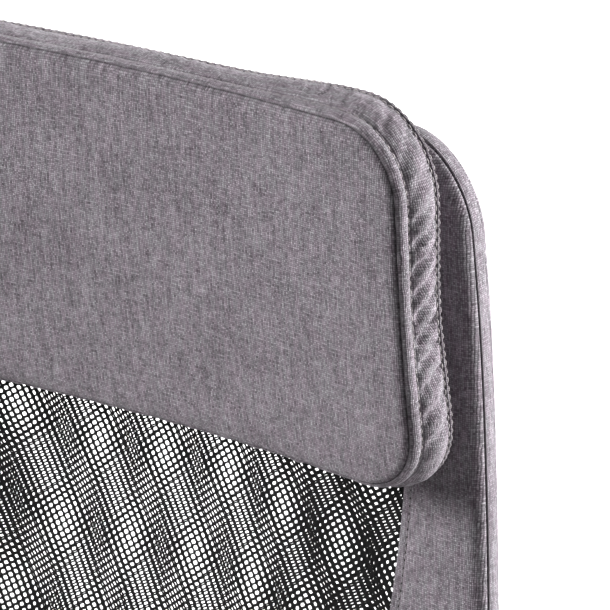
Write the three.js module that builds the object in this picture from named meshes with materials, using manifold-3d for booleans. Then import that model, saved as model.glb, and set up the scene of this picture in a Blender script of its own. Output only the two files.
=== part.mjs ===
// High-back swivel chair: net back with cloth edge strips, padded headrest, loop arms, five-star base.
// Millimetres, +Z up. The sitter faces -Y. The origin is on the floor, under the middle of the chair.
import * as THREE from 'three';
import { mergeVertices } from 'three/addons/utils/BufferGeometryUtils.js';
import { ConvexGeometry } from 'three/addons/geometries/ConvexGeometry.js';
import Module from 'manifold-3d';

// ---------------------------------------------------------------- driving dimensions
const GAP = 0.3; // left between pieces that touch
const LEGS = 5;

const WHEEL = { radius: 25, width: 17, bore: 4.4, sides: 16 };
const AXLE = { radius: 4, sides: 10 };
const CASTER = {
  circle: 292, trail: 18, web: 6.2, hoodHalf: 24, hoodRadius: 28.7, hoodHollow: 26.5, hoodLow: 22, webRadius: 20,
  bossRadius: 9, bossLow: 38, bossTop: 56, stemRadius: 5.4, stemTop: 84,
};
const BASE = {
  hubRadius: 30, hubLow: 62, hubTop: 130, seatRadius: 25.4, tipRadius: 14, tipLow: 60, tipTop: 83,
  stemBore: 5.8, wall: 2.6,
};
// Leg sections as [distance from the column, half width, lowest z, highest z].
const LEG_SECTIONS = [[24, 17, 70, 124], [180, 15, 62, 103], [292, 11, 60, 82]];

const COLUMN = {
  radius: 25, wall: 2, low: 66, top: 290, floor: 4, rodHole: 5.4,
  bushLow: 190, bushRadius: 22.6, bushFlange: 24.5, bushTop: 294,
  tubeRadius: 14, tubeLow: 80, tubeTop: 328, tubeHollow: 12, tubeEnd: 6, taperLow: 296, taperRadius: 13.2,
  rodRadius: 5, rodLow: 60, pistonLow: 203, pistonTop: 215, pistonRadius: 11.7,
  buttonRadius: 4, buttonHole: 4.4, buttonLow: 312, buttonTop: 334,
};
// Telescopic dust covers as [name, inner radius, outer radius, lowest z], lowest and widest first.
const DUST_COVERS = [['dust_cover_lower', 34.5, 36.5, 130.4], ['dust_cover_middle', 31, 33, 152],
  ['dust_cover_upper', 27.2, 29.2, 175]];
const DUST_COVER_HEIGHT = 110;

const HOUSING = {
  halfWidth: 70, front: -112, rear: 62, low: 300, wall: 3, frontTop: 350, rearTop: 322,
  socketRadius: 19, socketTop: 322, pivotY: -30, pivotZ: 335, pinRadius: 5, boltY: -85, slotFront: 17.5, slotRear: 7,
};
const TILT_PLATE = { halfWidth: 100, front: -112, rear: 128, low: 356, top: 360, earX: 74, earWall: 3.5, earLow: 323 };
const SPRING = { radius: 15, wire: 2.4, low: 269, top: 299, turns: 4.5 };
const KNOB = { radius: 27, low: 238, top: 265, lobes: 8, lobeDepth: 2.4 };
const BOLT = { radius: 4, headRadius: 8, low: 242, headTop: 364.6 };
const LEVER = { x: -70, z: 338.3, rod: 4, inner: 26, bendStart: -98, bendEnd: -150, bend: 14, dropZ: 316, paddleIn: -212,
  paddleOut: -288 };

const SEAT = { halfWidth: 250, front: -268, rear: 212, corner: 75, low: 372.8, top: 448, frontRound: 62 };
const BOARD = { inset: 26, low: 360.3, thick: 12 };

const BACK = {
  bottom: 472, top: 1159, halfWidth: 231.5, topCorner: 48, bottomCorner: 70, depth: 26, planRadius: 1100,
  skin: 1.6, tubeRadius: 9, tubeWall: 1.5, tubeInset: 13, tubeGap: 62,
  belly: 0.09, bellyZ: 700, bellySpread: 300,
};
// y of the back's front face on the centre line, at even heights from the first to the last.
const BACK_LINE = { low: 460, high: 1180, y: [240, 229, 260, 269, 255] };
const WINDOW = { low: 548, high: 1085, corner: 28, halfWidth: 192, waist: 168, waistZ: 760, spread: 150, net: 1.2 };
const BAR = { upperZ: 1072, lowerZ: 560, height: 34, thick: 4 };
const BRACKET = { halfWidth: 32, thick: 6, seatFront: 40, top: 604, bendRadius: 38 };

const HEADREST = {
  halfWidth: 231, low: 971, high: 1184, topCorner: 43, bottomCorner: 43, thick: 38, lean: 6.8, faceOffset: 55, bow: 4,
  boardInset: 34, boardThick: 10, boardGap: 1, screwX: 110, screwRadius: 3, screwHead: 6, screwStandoff: 1.8, screwLength: 34,
};
const ARM = {
  x: 283, tube: 10, wall: 1.5, frontY: -118, rearY: 96, seatX: 205, plateX: 150, plateZ: 356, plateThick: 4, topFront: 636,
  topRear: 644, bend: 46, padHalf: 36, padThick: 26, padFront: -150, padRear: 118,
};

// ---------------------------------------------------------------- materials
const finish = (color, roughness, metalness) => new THREE.MeshStandardMaterial({ color, roughness, metalness });
const CLOTH = finish(0x857d87, 0.95, 0);
const NET = finish(0x17171a, 0.7, 0);
const BLACK_PLASTIC = finish(0x1d1d20, 0.5, 0);
const CHROME = finish(0xc9ccd1, 0.12, 1);
const STEEL = finish(0x83868b, 0.4, 1);
const BLACK_STEEL = finish(0x202124, 0.45, 0.6);
const PLYWOOD = finish(0xc2a06c, 0.75, 0);

// ---------------------------------------------------------------- solids
const wasm = await Module();
wasm.setup();
const chair = new THREE.Group();

// A closed solid from a three.js geometry: corners merged, empty triangles dropped, faces turned outwards.
function solidOf(geometry) {
  const bare = geometry.clone();
  bare.deleteAttribute('normal');
  bare.deleteAttribute('uv');
  const merged = mergeVertices(bare, 1e-4);
  const spots = merged.attributes.position.array;
  const corners = [];
  let volume = 0;
  const [a, b, c] = [new THREE.Vector3(), new THREE.Vector3(), new THREE.Vector3()];
  for (let i = 0; i < merged.index.count; i += 3) {
    const [p, q, r] = merged.index.array.slice(i, i + 3);
    if (p === q || q === r || r === p) continue;
    corners.push(p, q, r);
    a.fromArray(spots, 3 * p);
    b.fromArray(spots, 3 * q);
    c.fromArray(spots, 3 * r);
    volume += a.dot(b.cross(c));
  }
  if (volume < 0) corners.reverse();
  return new wasm.Manifold(new wasm.Mesh({
    numProp: 3, vertProperties: Float32Array.from(spots), triVerts: Uint32Array.from(corners),
  }));
}

// Adds one named piece to the chair. The piece is a geometry or a solid.
function piece(name, shape, material) {
  const solid = shape.isBufferGeometry ? solidOf(shape) : shape;
  const { vertProperties, triVerts } = solid.getMesh();
  const geometry = new THREE.BufferGeometry();
  geometry.setAttribute('position', new THREE.BufferAttribute(Float32Array.from(vertProperties), 3));
  geometry.setIndex(new THREE.BufferAttribute(Uint32Array.from(triVerts), 1));
  geometry.computeVertexNormals();
  const mesh = new THREE.Mesh(geometry, material);
  mesh.name = name;
  chair.add(mesh);
  return mesh;
}

const join = (...solids) => solids.reduce((whole, next) => whole.add(next));
const cut = (whole, ...tools) => tools.reduce((left, tool) => left.subtract(tool), whole);

function block(x0, x1, y0, y1, z0, z1) {
  const geometry = new THREE.BoxGeometry(x1 - x0, y1 - y0, z1 - z0);
  return solidOf(geometry.translate((x0 + x1) / 2, (y0 + y1) / 2, (z0 + z1) / 2));
}

// A solid of revolution about Z from [radius, z] corners; the outline closes on itself.
function turned(corners, sides) {
  const outline = [...corners, corners[0]].map(([radius, z]) => new THREE.Vector2(radius, z));
  return solidOf(new THREE.LatheGeometry(outline, sides, Math.PI / sides).rotateX(Math.PI / 2));
}

const rod = (radius, z0, z1, sides) => turned([[0, z0], [radius, z0], [radius, z1], [0, z1]], sides);
const ring = (inner, outer, z0, z1, sides) => turned([[inner, z0], [outer, z0], [outer, z1], [inner, z1]], sides);
const alongX = (solid) => solid.rotate([0, 90, 0]);

// A round bar through the stations of a path, each ring square to the path there.
function sweep(stations, radius, sides) {
  const last = stations.length - 1;
  const tangents = stations.map((_, i) => stations[Math.min(i + 1, last)].clone()
    .sub(stations[Math.max(i - 1, 0)]).normalize());
  const start = Math.abs(tangents[0].z) > 0.9 ? new THREE.Vector3(0, 1, 0) : new THREE.Vector3(0, 0, 1);
  const normals = [start];
  for (const tangent of tangents) {
    const normal = normals[normals.length - 1].clone();
    normals.push(normal.addScaledVector(tangent, -normal.dot(tangent)).normalize());
  }
  const geometry = new THREE.CylinderGeometry(radius, radius, last, sides, last);
  const spots = geometry.attributes.position;
  const spot = new THREE.Vector3();
  for (let i = 0; i < spots.count; i++) {
    const station = Math.round(last / 2 - spots.getY(i));
    const normal = normals[station + 1];
    const across = tangents[station].clone().cross(normal);
    spot.copy(stations[station]).addScaledVector(normal, spots.getX(i)).addScaledVector(across, spots.getZ(i));
    spots.setXYZ(i, spot.x, spot.y, spot.z);
  }
  return solidOf(geometry);
}

// Stations of a path through the corners, bent by `bend` at each inner one.
function bentPath(corners, bend, steps) {
  const stations = [corners[0]];
  for (let i = 1; i < corners.length - 1; i++) {
    const before = corners[i].clone().lerp(corners[i - 1], bend / corners[i].distanceTo(corners[i - 1]));
    const after = corners[i].clone().lerp(corners[i + 1], bend / corners[i].distanceTo(corners[i + 1]));
    stations.push(...new THREE.QuadraticBezierCurve3(before, corners[i], after).getPoints(steps));
  }
  return [...stations, corners[corners.length - 1]];
}

// The same path, run on a little past both ends, for the bore of a tube.
function overrun(path) {
  const beyond = (end, next) => end.clone().add(end.clone().sub(next).setLength(2));
  return [beyond(path[0], path[1]), ...path, beyond(path[path.length - 1], path[path.length - 2])];
}

// A box of nx by ny by nz cells whose corners, running 0 to 1 each way, go where `place` says.
function warped(nx, ny, nz, place) {
  const geometry = new THREE.BoxGeometry(1, 1, 1, nx, ny, nz);
  const spots = geometry.attributes.position;
  for (let i = 0; i < spots.count; i++) {
    spots.setXYZ(i, ...place(spots.getX(i) + 0.5, spots.getY(i) + 0.5, spots.getZ(i) + 0.5));
  }
  return solidOf(geometry);
}

const mix = (a, b, t) => a + (b - a) * t;
const eased = (t) => (1 - Math.cos(Math.PI * t)) / 2;

// Half width of a rounded rectangle at height `at`.
function roundedHalf(half, low, high, lowCorner, highCorner, at) {
  const over = Math.max(0, at - (high - highCorner));
  const under = Math.max(0, low + lowCorner - at);
  const highCut = highCorner - Math.sqrt(Math.max(0, highCorner ** 2 - over ** 2));
  const lowCut = lowCorner - Math.sqrt(Math.max(0, lowCorner ** 2 - under ** 2));
  return half - highCut - lowCut;
}

// ---------------------------------------------------------------- casters
function casters() {
  const axleZ = WHEEL.radius;
  const wheelCentre = CASTER.web + GAP + WHEEL.width / 2;
  const edge = WHEEL.radius / Math.cos(Math.PI / WHEEL.sides);
  const half = WHEEL.width / 2;
  const onAxle = (solid, x) => alongX(solid).translate([x, CASTER.trail, axleZ]);
  const wheelHollow = rod(CASTER.hoodHollow, 0, CASTER.hoodHalf + 1, 18);

  const hoodArch = onAxle(rod(CASTER.hoodRadius, -CASTER.hoodHalf, CASTER.hoodHalf, 18), 0)
    .intersect(block(-60, 60, -60, 60, CASTER.hoodLow, 90));
  const web = onAxle(rod(CASTER.webRadius, -CASTER.web, CASTER.web, 14), 0);
  const boss = rod(CASTER.bossRadius, CASTER.bossLow, CASTER.bossTop, 12);
  const hood = cut(join(hoodArch, web, boss),
    onAxle(wheelHollow, CASTER.web), onAxle(wheelHollow, -CASTER.web - CASTER.hoodHalf - 1),
    onAxle(rod(AXLE.radius + GAP + 0.1, -40, 40, AXLE.sides), 0));
  const stem = rod(CASTER.stemRadius, CASTER.bossTop - 4, CASTER.stemTop, 12);
  const frame = join(hood, stem);
  const axle = onAxle(rod(AXLE.radius, -wheelCentre - half, wheelCentre + half, AXLE.sides), 0);
  const wheel = ring(WHEEL.bore, edge, -half, half, WHEEL.sides);

  for (let i = 0; i < LEGS; i++) {
    const place = [CASTER.circle * Math.cos(legAngle(i)), CASTER.circle * Math.sin(legAngle(i)), 0];
    piece(`caster_${i + 1}_hood`, frame.translate(place), BLACK_PLASTIC);
    piece(`caster_${i + 1}_axle`, axle.translate(place), STEEL);
    piece(`caster_${i + 1}_wheel_left`, onAxle(wheel, -wheelCentre).translate(place), BLACK_PLASTIC);
    piece(`caster_${i + 1}_wheel_right`, onAxle(wheel, wheelCentre).translate(place), BLACK_PLASTIC);
  }
}

// One leg points straight forward.
function legAngle(i) {
  return -Math.PI / 2 + (2 * Math.PI * i) / LEGS;
}

// ---------------------------------------------------------------- five-star base
function starBase() {
  const hull = (inset, drop) => solidOf(new ConvexGeometry(LEG_SECTIONS.flatMap(([r, half, low, high]) => [
    new THREE.Vector3(r, half - inset, low - drop), new THREE.Vector3(r, -half + inset, low - drop),
    new THREE.Vector3(r, half - inset - 3, high - inset), new THREE.Vector3(r, -half + inset + 3, high - inset)])));
  const tip = rod(BASE.tipRadius, BASE.tipLow, BASE.tipTop, 12).translate([CASTER.circle, 0, 0]);
  const bore = rod(BASE.stemBore, BASE.tipLow - 5, BASE.tipTop + 5, 12).translate([CASTER.circle, 0, 0]);
  const hollow = cut(hull(BASE.wall, 12), rod(BASE.tipRadius, 0, 200, 12).translate([CASTER.circle, 0, 0]));
  let star = rod(BASE.hubRadius, BASE.hubLow, BASE.hubTop, 20);
  let hollows = rod(BASE.seatRadius, 0, 200, 20);
  for (let i = 0; i < LEGS; i++) {
    const turn = [0, 0, THREE.MathUtils.radToDeg(legAngle(i))];
    star = join(star, hull(0, 0).rotate(turn), tip.rotate(turn));
    hollows = join(hollows, hollow.rotate(turn), bore.rotate(turn));
  }
  const hubWall = ring(BASE.seatRadius, BASE.hubRadius, BASE.hubLow, BASE.hubTop, 20);
  piece('star_base', join(cut(star, hollows), hubWall), CHROME);
}

// ---------------------------------------------------------------- gas column
function column() {
  const c = COLUMN;
  piece('stand_tube', turned([[c.rodHole, c.low], [c.radius, c.low], [c.radius, c.top], [c.radius - c.wall, c.top],
    [c.radius - c.wall, c.low + c.floor], [c.rodHole, c.low + c.floor]], 20), BLACK_STEEL);
  piece('guide_bush', turned([[c.tubeRadius + 0.4, c.bushLow], [c.bushRadius, c.bushLow], [c.bushRadius, c.top + GAP],
    [c.bushFlange, c.top + GAP], [c.bushFlange, c.bushTop], [c.tubeRadius + 0.4, c.bushTop]], 20), BLACK_PLASTIC);
  piece('pressure_tube', turned([[c.rodHole, c.tubeLow], [c.tubeRadius, c.tubeLow], [c.tubeRadius, c.taperLow],
    [c.taperRadius, c.tubeTop], [c.buttonHole, c.tubeTop], [c.buttonHole, c.tubeTop - c.tubeEnd],
    [c.tubeHollow, c.tubeTop - c.tubeEnd], [c.tubeHollow, c.tubeLow + c.tubeEnd],
    [c.rodHole, c.tubeLow + c.tubeEnd]], 20), CHROME);
  piece('piston_rod', turned([[0, c.rodLow], [c.rodRadius, c.rodLow], [c.rodRadius, c.pistonLow],
    [c.pistonRadius, c.pistonLow], [c.pistonRadius, c.pistonTop], [0, c.pistonTop]], 14), STEEL);
  piece('thrust_bearing', ring(c.rodHole, 16, c.low + c.floor + GAP, c.tubeLow - GAP, 14), STEEL);
  piece('retaining_clip', ring(c.rodHole, 11, c.low - 3, c.low - GAP, 14), STEEL);
  piece('release_button', rod(c.buttonRadius, c.buttonLow, c.buttonTop, 12), BLACK_PLASTIC);
  for (const [name, inner, outer, low] of DUST_COVERS) {
    piece(name, ring(inner, outer, low, low + DUST_COVER_HEIGHT, 24), BLACK_PLASTIC);
  }
}

// ---------------------------------------------------------------- tilt mechanism
function mechanism() {
  const h = HOUSING;
  const side = new THREE.Shape([[h.front, h.low], [h.rear, h.low], [h.rear, h.rearTop], [h.pivotY + 16, h.frontTop],
    [h.front, h.frontTop]].map(([y, z]) => new THREE.Vector2(y, z)));
  const slab = (halfWidth) => solidOf(new THREE.ExtrudeGeometry(side, { depth: 2 * halfWidth, bevelEnabled: false }))
    .translate([0, 0, -halfWidth]).rotate([90, 0, 90]);
  const hollow = block(-h.halfWidth + h.wall, h.halfWidth - h.wall, h.front + h.wall, h.rear - h.wall,
    h.low + h.wall, h.frontTop + 10);
  const pinHole = alongX(rod(h.pinRadius + 0.4, -200, 200, 16)).translate([0, h.pivotY, h.pivotZ]);
  const leverHole = alongX(rod(8.4, -20, 20, 16)).translate([LEVER.x + h.wall / 2, 0, LEVER.z]);
  const boltSlot = block(-BOLT.radius - 2, BOLT.radius + 2, h.boltY - h.slotFront, h.boltY + h.slotRear,
    h.low - 5, h.low + 10);
  const tray = join(cut(slab(h.halfWidth), hollow), rod(h.socketRadius, h.low, h.socketTop, 24));
  const tubeBore = rod(COLUMN.tubeRadius + GAP, h.low - 10, h.socketTop + 5, 24);
  const leverNotch = block(-h.halfWidth - 5, LEVER.x + h.wall + 5, -8.4, 8.4, LEVER.z, h.frontTop + 10);
  piece('mechanism_housing', cut(tray, pinHole, leverHole, leverNotch, boltSlot, tubeBore), BLACK_STEEL);

  const t = TILT_PLATE;
  const ear = (x) => block(x, x + t.earWall, h.pivotY - 14, h.pivotY + 14, t.earLow, t.low + 1);
  const plate = block(-t.halfWidth, t.halfWidth, t.front, t.rear, t.low, t.top);
  const headHole = rod(BOLT.radius + GAP, t.low - 5, t.top + 5, 16).translate([0, h.boltY, 0]);
  const plateHole = rod(14, t.low - 5, t.top + 5, 20);
  piece('tilt_plate', cut(join(plate, ear(t.earX), ear(-t.earX - t.earWall)), pinHole, headHole, plateHole),
    BLACK_STEEL);

  const pinHalf = t.earX + t.earWall + GAP;
  const pin = join(rod(h.pinRadius, -pinHalf - 4, pinHalf + 4, 14), rod(8, pinHalf, pinHalf + 4, 14),
    rod(8, -pinHalf - 4, -pinHalf, 14));
  piece('tilt_pivot_pin', alongX(pin).translate([0, h.pivotY, h.pivotZ]), STEEL);

  const bolt = join(rod(BOLT.radius, BOLT.low, t.top + 1, 12), rod(BOLT.headRadius, t.top + GAP, BOLT.headTop, 6));
  piece('tension_bolt', bolt.translate([0, h.boltY, 0]), STEEL);
  piece('tilt_spring', spring().translate([0, h.boltY, 0]), STEEL);
  piece('tension_knob', knob().translate([0, h.boltY, 0]), BLACK_PLASTIC);
}

function spring() {
  const s = SPRING;
  const steps = Math.round(12 * s.turns);
  const coil = Array.from({ length: steps + 1 }, (_, i) => {
    const turn = (2 * Math.PI * s.turns * i) / steps;
    const z = mix(s.low + s.wire, s.top - s.wire, i / steps);
    return new THREE.Vector3(s.radius * Math.cos(turn), s.radius * Math.sin(turn), z);
  });
  return sweep(coil, s.wire, 6);
}

function knob() {
  const outline = new THREE.Shape();
  const steps = 6 * KNOB.lobes;
  for (let i = 0; i < steps; i++) {
    const angle = (2 * Math.PI * i) / steps;
    const radius = KNOB.radius - KNOB.lobeDepth * (1 - Math.cos(KNOB.lobes * angle)) / 2;
    if (i === 0) outline.moveTo(radius, 0);
    else outline.lineTo(radius * Math.cos(angle), radius * Math.sin(angle));
  }
  const grip = solidOf(new THREE.ExtrudeGeometry(outline, { depth: KNOB.top - 4 - KNOB.low, bevelEnabled: false }));
  const shoulder = rod(KNOB.radius - 7, KNOB.low, KNOB.top, 24);
  const hole = rod(BOLT.radius + GAP, KNOB.low - 5, KNOB.top + 5, 14);
  return cut(join(grip.translate([0, 0, KNOB.low]), shoulder), hole);
}

// ---------------------------------------------------------------- height lever
function lever() {
  const at = (x, z) => new THREE.Vector3(x, 0, z);
  const bush = cut(alongX(rod(8, -5, 5, 20)), alongX(rod(LEVER.rod + GAP, -9, 9, 12)));
  piece('lever_bush', bush.translate([LEVER.x + HOUSING.wall / 2, 0, LEVER.z]), BLACK_PLASTIC);
  const corners = [at(LEVER.inner, LEVER.z), at(LEVER.bendStart, LEVER.z), at(LEVER.bendEnd, LEVER.dropZ),
    at(LEVER.paddleOut + 12, LEVER.dropZ)];
  piece('lever_rod', sweep(bentPath(corners, LEVER.bend, 3), LEVER.rod, 10), STEEL);
  const paddle = new THREE.Shape();
  const half = 15;
  paddle.moveTo(LEVER.paddleIn, -9);
  paddle.lineTo(LEVER.paddleOut + half, -half);
  paddle.absarc(LEVER.paddleOut + half, 0, half, -Math.PI / 2, Math.PI / 2, true);
  paddle.lineTo(LEVER.paddleIn, 9);
  const blade = solidOf(new THREE.ExtrudeGeometry(paddle, { depth: 14, bevelEnabled: false, curveSegments: 8 }))
    .translate([0, 0, LEVER.dropZ - 7]);
  const socket = alongX(rod(LEVER.rod + GAP, LEVER.paddleIn - 74, LEVER.paddleIn + 20, 12));
  const pocket = socket.translate([8, 0, LEVER.dropZ]).intersect(
    block(LEVER.paddleOut + 11, LEVER.paddleIn + 30, -20, 20, 0, 500));
  piece('lever_paddle', cut(blade, pocket), BLACK_PLASTIC);
}

// ---------------------------------------------------------------- seat
function seat() {
  const outline = (y, inset) => roundedHalf(SEAT.halfWidth - inset, SEAT.front + inset, SEAT.rear - inset,
    SEAT.corner, SEAT.corner, y);
  piece('seat_cushion', warped(8, 12, 1, (u, v, w) => {
    const y = mix(SEAT.front, SEAT.rear, eased(v));
    const fall = Math.max(0, SEAT.front + SEAT.frontRound - y);
    const top = SEAT.top - SEAT.frontRound + Math.sqrt(SEAT.frontRound ** 2 - fall ** 2) + fall * 0.25;
    return [(2 * u - 1) * outline(y, 0), y, mix(SEAT.low, Math.max(top, SEAT.low + 24), w)];
  }), CLOTH);
  const board = warped(6, 10, 1, (u, v, w) => {
    const y = mix(SEAT.front + BOARD.inset, SEAT.rear - BOARD.inset, eased(v));
    return [(2 * u - 1) * outline(y, BOARD.inset), y, BOARD.low + BOARD.thick * w];
  });
  const boltRecess = rod(BOLT.headRadius + 1.5, BOARD.low - 5, BOARD.low + BOARD.thick + 5, 16);
  piece('seat_board', cut(board, boltRecess.translate([0, HOUSING.boltY, 0])), PLYWOOD);
}

// ---------------------------------------------------------------- back surface
// y of the back's front face: a smooth line through the heights of BACK_LINE, with both edges curved forward.
function backFace(x, z) {
  const { low, high, y } = BACK_LINE;
  const place = THREE.MathUtils.clamp((z - low) / (high - low), 0, 1) * (y.length - 1);
  const i = Math.min(Math.floor(place), y.length - 2);
  const before = y[Math.max(i - 1, 0)];
  const after = y[Math.min(i + 2, y.length - 1)];
  const t = place - i;
  const [startSlope, endSlope] = [(y[i + 1] - before) / 2, (after - y[i]) / 2];
  const line = y[i] * (1 + 2 * t) * (1 - t) ** 2 + startSlope * t * (1 - t) ** 2
    + y[i + 1] * t * t * (3 - 2 * t) + endSlope * t * t * (t - 1);
  return line - x * x / (2 * BACK.planRadius);
}

// x moved out for the back's slightly wider middle.
function bellied(x, z) {
  return x * (1 + BACK.belly * Math.exp(-(((z - BACK.bellyZ) / BACK.bellySpread) ** 2)));
}

// Half width of the net window at height z, narrower at the waist.
function windowHalf(z, inset = 0) {
  const waist = Math.exp(-(((z - WINDOW.waistZ) / WINDOW.spread) ** 2));
  const half = roundedHalf(WINDOW.halfWidth - inset, WINDOW.low + inset, WINDOW.high - inset, WINDOW.corner,
    WINDOW.corner, z);
  return half - (WINDOW.halfWidth - WINDOW.waist) * waist;
}

// A point [x, z] on the outline of the back, or of its net window. `turn` runs from 0 to 4, starts half way round the
// bottom corner at +X and goes up; a whole number is half way round a corner.
function outlinePoint(turn, outer) {
  const half = outer ? BACK.halfWidth : WINDOW.halfWidth;
  const [low, high] = outer ? [BACK.bottom, BACK.top] : [WINDOW.low, WINDOW.high];
  const quarter = Math.floor(turn);
  const part = turn - quarter;
  // The corners take the first and last fifth of each quarter.
  const cornerOf = (isHigh) => (outer ? (isHigh ? BACK.topCorner : BACK.bottomCorner) : WINDOW.corner);
  const vertical = quarter % 2 === 0;
  const goingUp = quarter === 0;
  const side = quarter === 0 || quarter === 3 ? 1 : -1;
  if (vertical) {
    const s = goingUp ? 1 : -1;
    const [startCorner, endCorner] = [cornerOf(!goingUp), cornerOf(goingUp)];
    const [startZ, endZ] = goingUp ? [low + startCorner, high - endCorner] : [high - startCorner, low + endCorner];
    if (part < 0.2) return arcPoint(s * (half - startCorner), startZ, startCorner, s, -s, (1 - part / 0.2) * 45);
    if (part > 0.8) return arcPoint(s * (half - endCorner), endZ, endCorner, s, s, ((part - 0.8) / 0.2) * 45);
    return [s * half, mix(startZ, endZ, (part - 0.2) / 0.6)];
  }
  const top = quarter === 1;
  const corner = cornerOf(top);
  const z = top ? high : low;
  const up = top ? 1 : -1;
  const startX = up * (half - corner);
  if (part < 0.2) return arcPoint(startX, z - up * corner, corner, up, up, 45 + (part / 0.2) * 45);
  if (part > 0.8) return arcPoint(-startX, z - up * corner, corner, -up, up, 90 - ((part - 0.8) / 0.2) * 45);
  return [mix(startX, -startX, (part - 0.2) / 0.6), z];
}

// A point at `degrees` above the horizontal on a corner's arc, towards sideX and sideZ.
function arcPoint(x, z, radius, sideX, sideZ, degrees) {
  const angle = THREE.MathUtils.degToRad(degrees);
  return [x + sideX * radius * Math.cos(angle), z + sideZ * radius * Math.sin(angle)];
}

// ---------------------------------------------------------------- cloth sleeve and nets
// A stretch of the cloth edging: it covers the front from the window to the edge, turns round the tube and
// comes back on the rear.
function edging(start, end, steps) {
  const { depth, skin } = BACK;
  // [distance in from the edge, depth] of the cloth's outer and inner side; null is the window's edge.
  const section = [[[null, 0], [null, skin]], [[7, 0], [8, skin]], [[0, 7], [skin, 8]],
    [[0, depth - 7], [skin, depth - 8]], [[7, depth], [8, depth - skin]], [[null, depth], [null, depth - skin]]];
  return warped(section.length - 1, 1, steps, (u, v, w) => {
    const turn = mix(start, end, w);
    const [straightX, outerZ] = outlinePoint(turn, true);
    const outerX = bellied(straightX, outerZ);
    let [innerX, innerZ] = outlinePoint(turn, false);
    innerX *= windowHalf(THREE.MathUtils.clamp(innerZ, WINDOW.low + WINDOW.corner, WINDOW.high - WINDOW.corner))
      / WINDOW.halfWidth;
    const width = Math.hypot(innerX - outerX, innerZ - outerZ);
    const [inset, back] = section[Math.round(u * (section.length - 1))][Math.round(v)];
    const t = (inset ?? width - GAP) / width;
    const [x, z] = [mix(outerX, innerX, t), mix(outerZ, innerZ, t)];
    return [x, backFace(x, z) + back, z];
  });
}

function net(frontDepth) {
  const inset = 2;
  return warped(8, 1, 12, (u, v, w) => {
    const z = mix(WINDOW.low + inset, WINDOW.high - inset, eased(w));
    const x = (2 * u - 1) * windowHalf(z, inset);
    return [x, backFace(x, z) + frontDepth + WINDOW.net * v, z];
  });
}

function backCover() {
  const seam = 0.004;
  piece('edging_right', edging(0, 1 - seam, 16), CLOTH);
  piece('edging_top', edging(1, 2 - seam, 14), CLOTH);
  piece('edging_left', edging(2, 3 - seam, 16), CLOTH);
  piece('edging_bottom', edging(3, 4 - seam, 14), CLOTH);
  piece('net_front', cut(net(0.4), screwBores()), NET);
  piece('net_rear', net(BACK.depth - WINDOW.net - 0.4), NET);
}

// ---------------------------------------------------------------- back frame
function backFrame() {
  const { tubeInset, depth } = BACK;
  const points = [];
  const at = (x, z) => new THREE.Vector3(x, backFace(x, z) + depth / 2, z);
  const add = (x, z) => points.push(at(bellied(x, z), z));
  const half = BACK.halfWidth - tubeInset;
  const arc = (x, z, radius, sideX, sideZ, from, to) => {
    for (let i = 0; i <= 6; i++) add(...arcPoint(x, z, radius, sideX, sideZ, mix(from, to, i / 6)));
  };
  const [topR, lowR] = [BACK.topCorner - tubeInset, BACK.bottomCorner - tubeInset];
  const [lowZ, topZ] = [BACK.bottom + tubeInset, BACK.top - tubeInset];
  add(BACK.tubeGap, lowZ);
  add((BACK.tubeGap + half - lowR) / 2, lowZ);
  arc(half - lowR, lowZ + lowR, lowR, 1, -1, 90, 0);
  for (let i = 1; i < 12; i++) add(half, mix(lowZ + lowR, topZ - topR, i / 12));
  arc(half - topR, topZ - topR, topR, 1, 1, 0, 90);
  for (let i = 1; i < 4; i++) add(mix(half - topR, 0, i / 4), topZ);
  const mirrored = points.map((p) => new THREE.Vector3(-p.x, p.y, p.z)).reverse();
  add(0, topZ);
  const path = [...points, ...mirrored];
  piece('back_frame', cut(sweep(path, BACK.tubeRadius, 8), sweep(overrun(path), BACK.tubeRadius - BACK.tubeWall, 8)),
    BLACK_STEEL);

  const crossbar = (z, middle) => warped(12, 1, 1, (u, v, w) => {
    const reach = half - BACK.tubeRadius - 2;
    const height = z + (w - 0.5) * BAR.height;
    const x = bellied((2 * u - 1) * reach, height);
    return [x, backFace(x, height) + middle + (v - 0.5) * BAR.thick, height];
  });
  piece('upper_crossbar', cut(crossbar(BAR.upperZ, depth / 2), screwBores()), BLACK_STEEL);
  piece('lower_crossbar', crossbar(BAR.lowerZ, depth / 2), BLACK_STEEL);
}

// The bent flat bar that carries the back: along under the seat board, round a bend and up behind the net.
function backBracket() {
  const b = BRACKET;
  const lowZ = TILT_PLATE.low - GAP;
  const rear = (z) => backFace(0, z) + BACK.depth + 1.5;
  const bendY = rear(0) + b.thick - b.bendRadius;
  const bendZ = lowZ - b.thick + b.bendRadius;
  const heights = [BACK.bottom, BACK.bottom + 35, BACK.bottom + 70, BACK.bottom + 100, b.top];
  const outline = new THREE.Shape();
  outline.moveTo(b.seatFront, lowZ - b.thick);
  outline.lineTo(bendY, lowZ - b.thick);
  outline.absarc(bendY, bendZ, b.bendRadius, -Math.PI / 2, 0, false);
  for (const z of heights) outline.lineTo(rear(z) + b.thick, z);
  for (const z of heights.reverse()) outline.lineTo(rear(z), z);
  outline.absarc(bendY, bendZ, b.bendRadius - b.thick, 0, -Math.PI / 2, true);
  outline.lineTo(b.seatFront, lowZ);
  const bent = solidOf(new THREE.ExtrudeGeometry(outline,
    { depth: 2 * b.halfWidth, bevelEnabled: false, curveSegments: 8 }));
  piece('back_bracket', bent.translate([0, 0, -b.halfWidth]).rotate([90, 0, 90]), BLACK_STEEL);
}

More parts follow.
